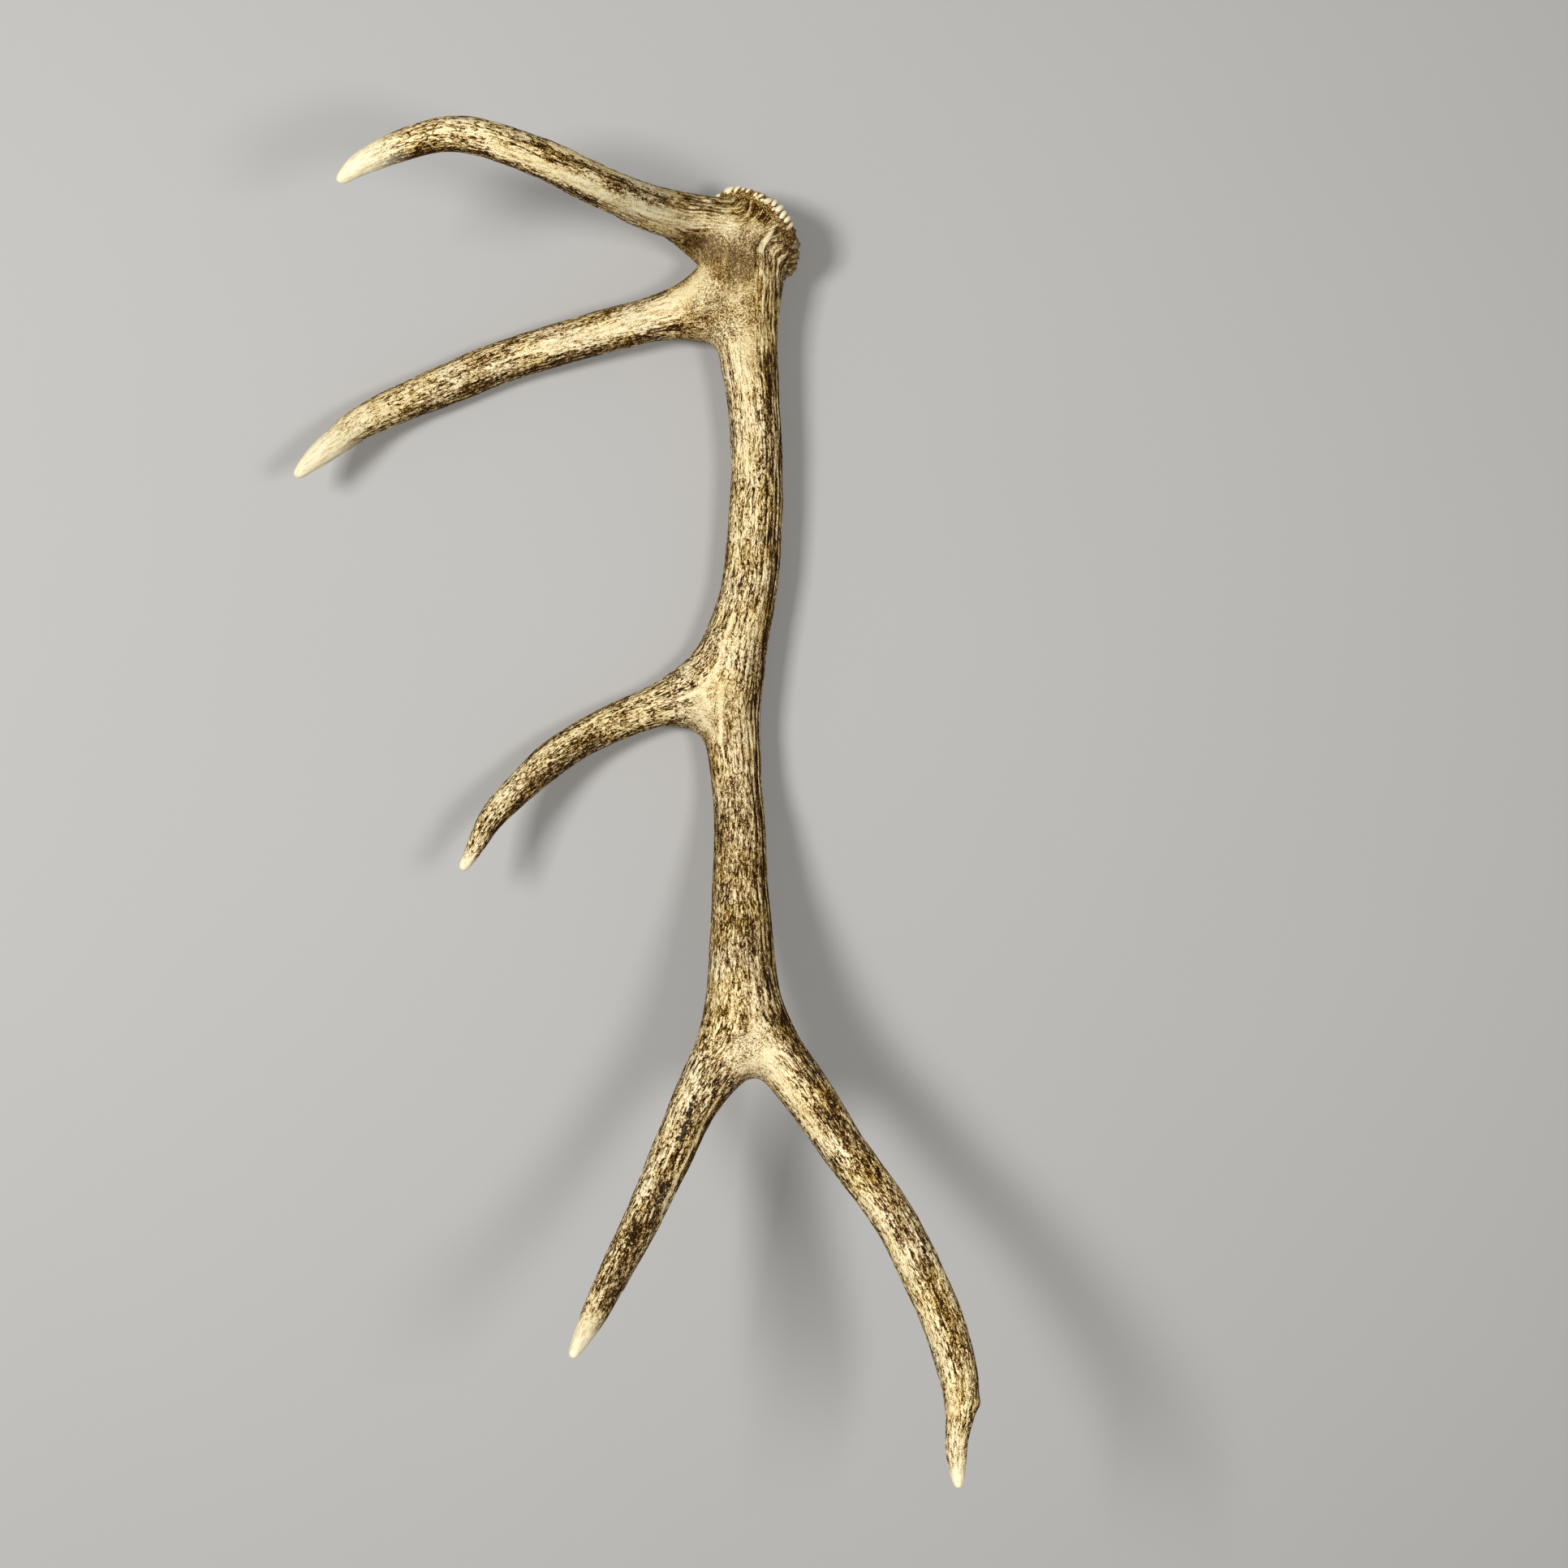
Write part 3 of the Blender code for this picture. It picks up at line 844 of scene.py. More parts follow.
def tip_share(surface):
    """1 at the end of each tine, falling to 0 over its worn length."""
    share = np.zeros(len(surface.points))
    for name, worn in TIP_WEAR.items():
        end = surface.roots[name][2] + TIP_LENGTH
        here = smoothstep(end - worn * 1.5, end - worn * 0.35, surface.place)
        share = np.maximum(share, here * surface.on(name))
    return share


def groove_strength(surface):
    """How deep the long grooves are: deepest near the burr and down the beam's right side."""
    right = 0.5 - 0.5 * np.cos(surface.angle)
    front = 0.5 + 0.5 * np.sin(surface.angle)
    near_burr = 1.0 - smoothstep(40.0, 150.0, surface.place)
    beam = surface.on(*BEAM_BRANCHES)
    strength = 0.15 + beam * 0.8 * smoothstep(0.6, 0.95, right)
    strength += 0.7 * near_burr * np.maximum(right * beam, front)
    strength += 0.45 * surface.on("brow") * (1.0 - smoothstep(120.0, 260.0, surface.place))
    strength += 0.3 * surface.on("lower")
    return np.minimum(strength, 1.0)


def edge_grooves(surface):
    """1 along the deep grooves down the beam's right edge, and below 0 on the crests beside them."""
    share = np.zeros(len(surface.points))
    down = np.column_stack((surface.place / 45.0, *[surface.place * 0] * 2))
    for number, (turn, depth) in enumerate(EDGE_GROOVES):
        drift = gradient_noise(down, 60 + number) + 0.3 * gradient_noise(down * 4.0, 70 + number)
        apart = (surface.angle - radians(turn) - 0.07 * drift) * surface.girth
        patchy = np.clip(0.7 + 0.9 * gradient_noise(down * 1.5, 80 + number), 0.1, 1.2)
        strong = depth * (1.0 + 0.6 * surface.on("upper")) * patchy
        share += strong * np.exp(-((apart / EDGE_GROOVE_WIDTH) ** 2))
        beside = (apart - EDGE_CREST_OFFSET) / EDGE_GROOVE_WIDTH
        share -= 0.6 * strong * np.exp(-(beside**2))
    away = smoothstep(70.0, 120.0, surface.place)
    return share * surface.on("lower", "upper") * away


def edge_shade_and_grime(surface):
    """1 along the two edges of every branch, as painted shade with some grime, and 0 on its front and
    back.
    """
    turn = np.cos(surface.angle)
    return 1.25 * smoothstep(0.6, 0.98, turn) + 1.1 * smoothstep(0.4, 1.0, -turn)


class Fan:
    """The grooves that fan out from the burr over the front of the base.

    Each point has its place across and along them in millimetres, the share of the fan there, and
    how strong the grooves are. Between those of the brow tine and those of the beam lies a hollow
    without grooves.
    """

    def __init__(self, surface):
        x, y, _ = surface.points.T
        from_rim = (np.array(BURR_CENTRE) - surface.points) @ np.array(BURR_AXIS)
        turn = np.arctan2(y - FAN_MIDDLE[1], x - FAN_MIDDLE[0])
        to_brow = smoothstep(radians(8), radians(52), turn)
        at_rim = 1.0 - smoothstep(6.0, 26.0, from_rim)
        across = to_brow * (FAN_BROW_EDGE - y) + (1.0 - to_brow) * (x - FAN_BEAM_EDGE)
        across += at_rim * ((x - y) / 2**0.5 - FAN_RIM_SPLIT - across)
        front = smoothstep(0.1, 0.45, surface.normals[:, 2])
        wander = 1.3 * gradient_noise(surface.points / 26.0, 14)
        self.across = across + wander + 0.3 * gradient_noise(surface.points / 9.0, 15)
        self.along = -to_brow * x - (1.0 - to_brow) * y
        last = -84.0 - 40.0 * smoothstep(-24.0, -8.0, x)
        self.share = front * smoothstep(0.0, 22.0, y - last) * smoothstep(-74.0, -52.0, x)
        away = to_brow * -across + (1.0 - to_brow) * across
        away += 5.0 * gradient_noise(surface.points / 9.0, 16) + at_rim * (14.0 - away)
        self.grooved = smoothstep(0.0, 13.0, away)

    def crests(self):
        """1 on the crests between the grooves and -1 in the grooves."""
        return np.cos(2 * pi * self.across / FAN_PITCH)

    def straight(self, across, along):
        """The fan as straight lines, for noise with bumps so many millimetres wide and long."""
        return np.column_stack((self.across / across, self.along / along, self.across * 0))


def stain_of(points):
    """The stains that belong to places on the antler, added up."""
    stain = np.zeros(len(points))
    for line, reach, amount in STAINS:
        stain += amount * nearness(points, line, reach)
    return stain


def scorch_of(points):
    """1 in the middle of the nearly black patches, falling to 0 around them."""
    return np.max([nearness(points, line, reach) for line, reach in SCORCHES], axis=0)


def ridge_share(points, reach):
    """1 along the middle of each pale ridge, falling to 0 beside it."""
    return np.max([nearness(points, line, reach) for line in RIDGES], axis=0)


class Zones:
    """Where each kind of wear belongs on the skin: for each vertex, mostly from 0 to 1."""

    def __init__(self, surface):
        self.crotch = crotch_share(surface.points)
        self.tip = tip_share(surface)
        self.ridge = ridge_share(surface.points, RIDGE_REACH)
        self.fan = Fan(surface)
        self.edge = edge_grooves(surface)
        self.near_rim = surface.on("stem") * (1.0 - smoothstep(5.0, 16.0, surface.place))
        base = surface.on("stem", "lower")
        self.by_burr = base * (1.0 - smoothstep(70.0, 150.0, surface.place))


def groove_crests(surface, zones, burr):
    """Above 0 on the crests between the grooves, and below 0 in them."""
    fan = zones.fan
    wander = gradient_noise(surface.straight(17.0, 60.0), 8)
    crest = gradient_noise(surface.straight(3.6, 105.0) + 0.35 * wander[:, None], 11)
    fanned = 0.2 * fan.crests() + gradient_noise(fan.straight(2.3, 45.0), 12)
    crest += fan.share * (fanned - crest)
    folds = fold_height(surface.angle, pearl_places(burr), 0.35 * 2 * pi / burr.pearls)
    crest += zones.near_rim * (0.9 * folds - 0.45 - crest)
    return crest - 0.9 * zones.edge


def grooved_share(surface, zones):
    """How strong the grooves are everywhere: calm in the crotches and near the tips."""
    calm = (1.0 - 0.75 * zones.crotch) * (1.0 - 0.9 * zones.tip)
    grooved = groove_strength(surface)
    grooved = (grooved + zones.fan.share * (zones.fan.grooved - grooved)) * calm
    return np.maximum(grooved, np.abs(zones.edge))


def small_dents(surface, zones):
    """The small dents between the grooves, which are worn away near the tips."""
    dents = gradient_noise(surface.straight(2.4, 9.0), 21)
    dents += 0.6 * gradient_noise(surface.points / 3.1, 22)
    return dents * (1.0 - 0.85 * zones.tip)


def skin_height(settings, surface, zones, groove, dents):
    """How far the worked skin stands off the smooth one, in millimetres."""
    lumps = gradient_noise(surface.points / 38.0, 3) + 0.5 * gradient_noise(surface.points / 15.0, 5)
    height = settings.lump_height * lumps * (1.0 - 0.6 * zones.tip)
    height -= settings.groove_depth * groove
    height += settings.dent_depth * dents
    height += RIDGE_HEIGHT * zones.ridge
    return height + KNOT_HEIGHT * nearness(surface.points, (KNOT_PLACE, KNOT_PLACE), KNOT_REACH)


def stain_over(surface, zones, placed):
    """How brown the bone is, painted shade included: above 0 where it is darker than elsewhere."""
    # Darker toward both edges of a branch: partly painted shade, partly grime.
    side = 1.0 - np.abs(np.sin(surface.angle))
    # Painted shade: darker where the surface faces away from the light at the upper left.
    turned_from_light = smoothstep(0.25, 0.95, surface.normals @ np.array(SHADED_SIDE))
    broad = gradient_noise(surface.points / 30.0, 31) + 0.6 * gradient_noise(surface.points / 11.0, 32)
    flank = ridge_share(surface.points, RIDGE_FLANK) * (1.0 - zones.ridge)
    stain = 0.1 * side + 0.2 * turned_from_light * (1.0 - zones.by_burr) + 0.2 * broad + placed
    stain += 0.3 * zones.near_rim + 0.1 * zones.fan.share * zones.fan.grooved
    return stain + 0.06 * surface.on("upper") + 0.35 * flank - 0.9 * zones.ridge


def calm_share(surface, zones, placed, hollow):
    """How far the small marks are worn away or hidden."""
    return np.max(
        (
            0.5 * zones.tip,
            0.7 * smoothstep(0.1, 0.5, -placed),
            0.3 * smoothstep(0.1, 0.4, placed),
            0.3 * zones.fan.share + 0.3 * hollow,
            0.25 * surface.on("bez") + 0.3 * surface.on("upper"),
            0.9 * zones.ridge,
        ),
        axis=0,
    )


def worked_surface(settings, burr):
    """The skin with its lumps, grooves and dents, and what the bone's finish reads from it."""
    surface = Surface(settings.detail)
    zones = Zones(surface)
    fan = zones.fan
    crest = groove_crests(surface, zones, burr)
    grooved = grooved_share(surface, zones)
    groove = smoothstep(0.05, 0.35, -crest) * grooved
    dents = small_dents(surface, zones)
    height = skin_height(settings, surface, zones, groove, dents)
    surface.points = surface.points + surface.normals * height[:, None]

    placed = stain_of(surface.points)
    bare = fan.share * (1.0 - fan.grooved)
    hollow = nearness(surface.points, HOLLOW_LINE, HOLLOW_REACH) * bare
    # Painted shade with some grime along both edges of every branch, less at the tips, crotches and
    # burr.
    shade_and_grime = edge_shade_and_grime(surface) * (1.0 - 0.8 * zones.tip)
    shade_and_grime *= (1.0 - 0.6 * zones.crotch) * (1.0 - 0.7 * zones.by_burr)
    surface.values = {
        "girth": surface.girth * MM,
        # The hollow field: darker in the edge grooves and dents, plus the painted shade along the
        # edges.
        "hollow": 3.0 * zones.edge - dents + shade_and_grime,
        "dust": hollow,
        "scorch": scorch_of(surface.points),
        "crest": crest,
        "grooved": grooved,
        "stain": stain_over(surface, zones, placed),
        "polish": zones.tip,
        "loose": np.clip(np.maximum(zones.crotch * 1.2, bare), 0.0, 1.0),
        "calm": calm_share(surface, zones, placed, hollow),
        "fan": fan.share,
        "fan_across": fan.across * MM,
        "fan_along": fan.along * MM,
    }
    return surface


def face_pieces(surface):
    """For each face, the number of the piece it belongs to."""
    middle = surface.grain[:, :, 1].mean(axis=1)
    piece = np.zeros(len(middle), dtype=int)
    for number, (name, (own, parent)) in enumerate(BRANCHES.items()):
        here = surface.face_branch == number
        first, second = surface.roots.get(name, (0.0, 0.0, 0.0))[:2]
        piece[here] = PIECES.index(parent)
        piece[here & (middle > (first + second) / 2)] = PIECES.index(own)
    return piece


def rim_loops(corners):
    """The loops of edges that have a face on one side only, each as its vertices in order."""
    starts = corners.ravel()
    ends = np.roll(corners, -1, axis=1).ravel()
    pairs = set(zip(starts.tolist(), ends.tolist()))
    onward = {end: start for start, end in pairs if (end, start) not in pairs}
    loops = []
    while onward:
        first, there = onward.popitem()
        loop = [first]
        while there != first:
            loop.append(there)
            there = onward.pop(there)
        loops.append(loop)
    return loops


def bone_piece(surface, chosen, normals, name):
    """One piece of the skin as an object, closed by a flat face where it was parted."""
    corners = surface.corners[chosen]
    used, renumbered = np.unique(corners, return_inverse=True)
    corners = renumbered.reshape(-1, 4)
    caps = rim_loops(corners)
    mesh = bpy.data.meshes.new(name)
    mesh.from_pydata(laid_down(surface.points[used]), [], corners.tolist() + caps)

    grain = surface.grain[chosen].reshape(-1, 2) * (1.0, MM)
    spare = np.zeros((sum(len(cap) for cap in caps), 2))
    layer = mesh.uv_layers.new(name="grain")
    layer.data.foreach_set("uv", np.concatenate((grain, spare)).ravel())
    for field in BONE_FIELDS:
        write_attribute(mesh, field, surface.values[field][used])
    mesh.shade_smooth()
    turned = normals[used] @ np.array(LIE_TURN.to_matrix()).T
    mesh.normals_split_custom_set_from_vertices(turned)
    return object_of(mesh, name)


def vertex_normals(surface):
    """The normal of the worked skin at each vertex."""
    quads = surface.points[surface.corners]
    facing = np.cross(quads[:, 2] - quads[:, 0], quads[:, 3] - quads[:, 1])
    normals = np.zeros_like(surface.points)
    for i in range(4):
        np.add.at(normals, surface.corners[:, i], facing)
    return normals / np.linalg.norm(normals, axis=1)[:, None]


# ---------------------------------------------------------------------------------------------
# The burr
# ---------------------------------------------------------------------------------------------


def pearl_places(settings):
    """The angle, size and lift of each pearl around the rim."""
    spread = np.random.default_rng(settings.seed)
    places = []
    for i in range(settings.pearls):
        angle = 2 * pi * (i + spread.uniform(-0.26, 0.26)) / settings.pearls
        size = spread.uniform(0.8, 1.0)
        lift = spread.uniform(-3.2, 0.2)
        places.append((angle, size, lift))
    return places


def corner_reach(angles):
    """How much farther than elsewhere the rim stands out at each angle."""
    apart = (angles - CORNER_SIDE + pi) % (2 * pi) - pi
    return CORNER_REACH * np.exp(-((apart / 0.5) ** 2))


def fold_height(angles, places, width):
    """Folds of the rim, one up to each pearl, 0 to 1."""
    height = np.zeros(len(angles))
    for angle, size, _ in places:
        apart = (angles - angle + pi) % (2 * pi) - pi
        height = np.maximum(height, size * np.exp(-((apart / width) ** 2)))
    return height


def burr_grid(settings, places):
    """The collar from the middle of the seal, over the rim and into the neck, as a grid."""
    stations = np.array(COLLAR)
    stations[:, 0] *= settings.radius / COLLAR_RADIUS
    turns, rows = COLLAR_TURNS, COLLAR_ROWS
    share = np.linspace(0.0, 1.0, rows)
    lengths = np.concatenate(([0.0], np.cumsum(np.hypot(*np.diff(stations[:, :2], axis=0).T))))
    out, up, raise_up, raise_out = (
        np.interp(share * lengths[-1], lengths, stations[:, k]) for k in range(4)
    )
    angles = np.linspace(0.0, 2 * pi, turns, endpoint=False)
    fold = fold_height(angles, places, 0.42 * 2 * pi / settings.pearls)
    corner = smoothstep(20.0, 38.0, out)[:, None] * corner_reach(angles)[None, :]
    reach = out[:, None] + raise_out[:, None] * (fold[None, :] - 0.5) + corner
    rise = up[:, None] + raise_up[:, None] * (fold[None, :] - 0.5)
    x = reach * np.cos(angles)
    y = reach * np.sin(angles)
    points = np.stack((x, y, rise), axis=-1)
    flat = points.reshape(-1, 3)
    rough = gradient_noise(flat / 6.0, 41) + 0.6 * gradient_noise(flat / 2.6, 42)
    seal = 1.0 - smoothstep(27.0, 31.0, np.repeat(out, turns))
    top = (np.repeat(up, turns) > 0).astype(float)
    flat[:, 2] += rough * (0.2 + 0.45 * seal) * top
    swell = 1.0 + 0.02 * gradient_noise(flat / 9.0, 43)
    flat[:, :2] *= swell[:, None]
    return flat.reshape(rows, turns, 3)


def grid_mesh(grid, name):
    """A closed mesh from a grid whose first and last rows are points and whose rows are rings."""
    rows, turns = grid.shape[:2]
    points = [grid[0].mean(axis=0), *grid[1:-1].reshape(-1, 3), grid[-1].mean(axis=0)]
    last = len(points) - 1

    def at(row, turn):
        return 1 + (row - 1) * turns + turn % turns

    faces = [(0, at(1, t), at(1, t + 1)) for t in range(turns)]
    for row in range(1, rows - 2):
        for t in range(turns):
            faces.append((at(row, t), at(row + 1, t), at(row + 1, t + 1), at(row, t + 1)))
    faces += [(at(rows - 2, t), last, at(rows - 2, t + 1)) for t in range(turns)]
    mesh = bpy.data.meshes.new(name)
    mesh.from_pydata(points, [], faces)
    return mesh


def socket(tree, name, kind, default, way="INPUT"):
    """A named input or output of a node tree."""
    made = tree.interface.new_socket(name=name, in_out=way, socket_type=kind)
    if default is not None:
        made.default_value = default
    return made


def stored_number(nodes, name):
    """A number stored on the points of a mesh."""
    node = nodes.add("GeometryNodeInputNamedAttribute", data_type="FLOAT")
    return nodes.fill(node, Name=name).outputs["Attribute"]


def random_lean(nodes, given):
    """A node that gives a random angle up to the lean on either side."""
    lowest = nodes.math("MULTIPLY", given["Lean"], -1.0)
    node = nodes.add("FunctionNodeRandomValue", data_type="FLOAT")
    return nodes.fill(node, Min=lowest, Max=given["Lean"], Seed=given["Seed"])


def pearl_tree(bone):
    """Geometry nodes that set an oval pearl on every point, turned and sized by its own values."""
    tree = bpy.data.node_groups.new("burr pearls", "GeometryNodeTree")
    socket(tree, "Geometry", "NodeSocketGeometry", None)
    for name, default in (("Length", 5.0), ("Width", 3.2), ("Height", 4.8), ("Lean", 0.2)):
        socket(tree, name, "NodeSocketFloat", default)
    socket(tree, "Seed", "NodeSocketInt", 4)
    socket(tree, "Geometry", "NodeSocketGeometry", None, "OUTPUT")
    nodes = Tree(tree)
    given = nodes.add("NodeGroupInput").outputs

    lean, twist = random_lean(nodes, given), random_lean(nodes, given)
    twist.inputs["ID"].default_value = 7
    turn = nodes.joined(twist.outputs["Value"], lean.outputs["Value"], stored_number(nodes, "angle"))
    shape = nodes.joined(given["Length"], given["Width"], given["Height"])
    sized = nodes.add("ShaderNodeVectorMath", operation="SCALE")
    nodes.feed(sized.inputs[0], shape)
    nodes.feed(sized.inputs["Scale"], stored_number(nodes, "size"))

    ball = nodes.fill(nodes.add("GeometryNodeMeshIcoSphere"), Radius=1.0, Subdivisions=3)
    pearls = nodes.fill(
        nodes.add("GeometryNodeInstanceOnPoints"),
        Points=given["Geometry"],
        Instance=ball.outputs["Mesh"],
        Rotation=turn,
        Scale=sized.outputs[0],
    )
    real = nodes.add("GeometryNodeRealizeInstances")
    nodes.fill(real, Geometry=pearls.outputs["Instances"])
    finish = nodes.add("GeometryNodeSetMaterial")
    nodes.fill(finish, Geometry=real.outputs["Geometry"], Material=bone)
    nodes.fill(nodes.add("NodeGroupOutput"), Geometry=finish.outputs["Geometry"])
    return tree


def pearl_points(settings, places):
    """The points on which the pearls are set: one for each fold, and smaller ones beside them."""
    spread = np.random.default_rng(settings.seed + 1)
    pitch = 2 * pi / settings.pearls
    rows = []
    for angle, size, lift in places:
        rim = settings.radius + corner_reach(angle)
        rows.append((angle, rim - PEARL_SINK, lift, size * spread.uniform(0.6, 1.3)))
        if spread.uniform() < 0.35:
            beside = angle + spread.uniform(-0.5, 0.5) * pitch
            rows.append((beside, rim - 6.5, 3.4 + spread.uniform(-0.5, 0.8), 0.55))
        if spread.uniform() < 0.4:
            beside = angle + spread.uniform(0.35, 0.65) * pitch
            rows.append((beside, rim - PEARL_SINK, spread.uniform(-6.5, -4.0), 0.55))
    return np.array(rows)


def burr_pearls(settings, places, bone):
    """The pearls as one plain mesh."""
    angles, out, up, sizes = pearl_points(settings, places).T
    points = np.column_stack((out * np.cos(angles), out * np.sin(angles), up))
    mesh = bpy.data.meshes.new("pearl points")
    mesh.from_pydata(points, [], [])
    write_attribute(mesh, "angle", angles)
    write_attribute(mesh, "size", sizes)
    thing = object_of(mesh, "pearls")
    tree = pearl_tree(bone)
    setting = thing.modifiers.new("pearls", "NODES")
    setting.node_group = tree
    chosen = {
        "Length": settings.pearl_length,
        "Width": settings.pearl_width,
        "Height": settings.pearl_height,
        "Lean": settings.pearl_lean,
        "Seed": settings.seed,
    }
    for item in tree.interface.items_tree:
        if item.in_out == "INPUT" and item.name in chosen:
            setting[item.identifier] = chosen[item.name]
    return evaluated(thing, "pearls")


def fused(meshes, voxel, name):
    """Several closed meshes melted into one."""
    whole = bmesh.new()
    for mesh in meshes:
        whole.from_mesh(mesh)
        bpy.data.meshes.remove(mesh)
    data = bpy.data.meshes.new(name)
    whole.to_mesh(data)
    whole.free()
    thing = object_of(data, name)
    melt = thing.modifiers.new("melt", "REMESH")
    melt.mode = "VOXEL"
    melt.voxel_size = voxel
    return evaluated(thing, name)


def relaxed(points, edges, rounds):
    """The points drawn toward their neighbours, which rounds off what is sharp."""
    for _ in range(rounds):
        points = points * 0.5 + neighbour_mean(points, edges) * 0.5
    return points


def pearl_share(points, pearls):
    """1 where a point lies on a pearl, falling to 0 in the gaps between them."""
    apart = np.array([pearls.find_nearest(point)[3] for point in points])
    return 1.0 - smoothstep(0.12, 0.45, apart)


def burr_values(points, sunk, pearls):
    """What the bone's finish reads on the burr: rubbed pearls, painted shade in the gaps between them
    and a dull seal.
    """
    reach = np.hypot(points[:, 0], points[:, 1])
    angle = np.arctan2(points[:, 1], points[:, 0])
    seal = (1.0 - smoothstep(29.0, 32.0, reach)) * (points[:, 2] > 0)
    rubbed = smoothstep(0.45, 0.65, np.cos(angle - WORN_SIDE))
    pearl = pearl_share(points, pearls)
    mottle = gradient_noise(points / 7.0, 51)
    # Painted shade in the gaps between the pearls: the more sunk a point is, the darker it is and the
    # less pale pearl it shows.
    bead = pearl * (0.12 + 0.88 * rubbed) * (1.0 - smoothstep(0.1, 0.55, sunk))
    dull = 0.5 + 0.7 * np.clip(sunk, -0.4, 1.0) + 0.16 * mottle + 0.42 * (1.0 - rubbed)
    return {
        "girth": reach * MM,
        # Painted shade in the gaps from how sunk each point is, with darker bone where the pearls
        # aren't rubbed.
        "hollow": (np.clip(sunk * 1.4, -0.6, 1.6) + 0.4 * (1.0 - rubbed)) * (1.0 - bead),
        "stain": dull * (1.0 - seal) + 0.3 * seal - 0.95 * bead,
        "polish": bead,
        "loose": np.ones(len(points)),
        "calm": 0.55 + 0.3 * pearl,
    }


def write_burr_grain(mesh, points):
    """Store where each corner lies around and along the burr, with no jump inside a face."""
    corners = read(mesh.loops, "vertex_index", 1, int)
    along = (points[:, 2] + np.hypot(points[:, 0], points[:, 1])) * MM
    around = (np.arctan2(points[:, 1], points[:, 0]) / (2 * pi))[corners]
    starts = read(mesh.polygons, "loop_start", 1, int)
    counts = read(mesh.polygons, "loop_total", 1, int)
    first = np.repeat(around[starts], counts)
    around = around + np.round(first - around)
    layer = mesh.uv_layers.new(name="grain")
    layer.data.foreach_set("uv", np.column_stack((around, along[corners])).ravel())


def burr_piece(settings, bone):
    """The collar of the burr with its pearls and the seal, as an object where the antler lies."""
    places = pearl_places(settings)
    collar = grid_mesh(burr_grid(settings, places), "collar")
    pearls = burr_pearls(settings, places, bone)
    nearest = BVHTree.FromPolygons(
        [tuple(point.co) for point in pearls.vertices],
        [tuple(face.vertices) for face in pearls.polygons],
    )
    mesh = fused((collar, pearls), settings.fineness, "burr_rim_bone")
    edges = read(mesh.edges, "vertices", 2, int)
    points = relaxed(read(mesh.vertices, "co", 3), edges, 1)
    mesh.vertices.foreach_set("co", points.ravel())
    mesh.update()
    normals = read(mesh.vertices, "normal", 3)
    sunk = ((relaxed(points, edges, SINK_ROUNDS) - points) * normals).sum(axis=1)

    values = burr_values(points, sunk, nearest)
    nothing = np.zeros(len(points))
    for field in BONE_FIELDS:
        write_attribute(mesh, field, values.get(field, nothing))
    write_burr_grain(mesh, points)

    frame_of_burr = np.array((BURR_ACROSS, BURR_FRONT, BURR_AXIS))
    placed = points @ frame_of_burr + np.array(BURR_CENTRE)
    mesh.vertices.foreach_set("co", laid_down(placed).ravel())
    mesh.shade_smooth()
    mesh.update()
    return object_of(mesh, "burr_rim_bone")


# ---------------------------------------------------------------------------------------------
# Finishes
# ---------------------------------------------------------------------------------------------


class Nodes(Tree):
    """A material's node tree."""

    def __init__(self, name):
        self.material = bpy.data.materials.new(name)
        self.material.use_nodes = True
        super().__init__(self.material.node_tree)
        self.shader = self.tree.nodes["Principled BSDF"]
        self.stored = {}

    def noise(self, vector, scale, detail, roughness=0.5, distortion=0.0):
        """Cloudy noise, about 0 to 1."""
        node = self.add("ShaderNodeTexNoise")
        self.feed(node.inputs["Vector"], vector)
        node.inputs["Scale"].default_value = scale
        node.inputs["Detail"].default_value = detail
        node.inputs["Roughness"].default_value = roughness
        node.inputs["Distortion"].default_value = distortion
        return node.outputs["Fac"]

    def vary(self, noise, amount, base):
        """A value moved up and down by a noise that runs from 0 to 1."""
        return self.math("MULTIPLY_ADD", self.math("SUBTRACT", noise, 0.5), amount, base)

    def value_of(self, name):
        """A number stored on the mesh."""
        if name not in self.stored:
            self.stored[name] = self.add("ShaderNodeAttribute", attribute_name=name).outputs["Fac"]
        return self.stored[name]

    def spread(self, value, low, high, new_low=0.0, new_high=1.0):
        """A value moved from one range to another, and held inside it."""
        node = self.add("ShaderNodeMapRange", interpolation_type="SMOOTHSTEP")
        for target, given in zip(node.inputs, (value, low, high, new_low, new_high)):
            self.feed(target, given)
        return node.outputs[0]

    def mix(self, share, first, second):
        """A colour between two colours."""
        node = self.add("ShaderNodeMix", data_type="RGBA")
        self.feed(node.inputs["Factor"], share)
        self.feed(node.inputs[6], first)
        self.feed(node.inputs[7], second)
        return node.outputs[2]

    def blend(self, share, first, second):
        """A number between two numbers."""
        node = self.add("ShaderNodeMix", data_type="FLOAT")
        for number, given in ((0, share), (2, first), (3, second)):
            self.feed(node.inputs[number], given)
        return node.outputs[0]

    def ramp(self, value, stops):
        """A colour chosen along a row of colours."""
        node = self.add("ShaderNodeValToRGB")
        self.feed(node.inputs[0], value)
        band = node.color_ramp
        while len(band.elements) < len(stops):
            band.elements.new(1.0)
        for element, (place, colour) in zip(band.elements, stops):
            element.position = place
            element.color = (*colour[:3], 1.0)
        return node.outputs[0]


def unrolled(nodes):
    """Coordinates that run straight along the grain of every branch, in metres."""
    grain = nodes.add("ShaderNodeUVMap", uv_map="grain")
    split = nodes.add("ShaderNodeSeparateXYZ")
    nodes.feed(split.inputs[0], grain.outputs[0])
    angle = nodes.math("MULTIPLY", split.outputs[0], 2 * pi)
    girth = nodes.value_of("girth")
    x = nodes.math("MULTIPLY", nodes.math("COSINE", angle), girth)
    y = nodes.math("MULTIPLY", nodes.math("SINE", angle), girth)
    return nodes.joined(x, y, split.outputs[1])


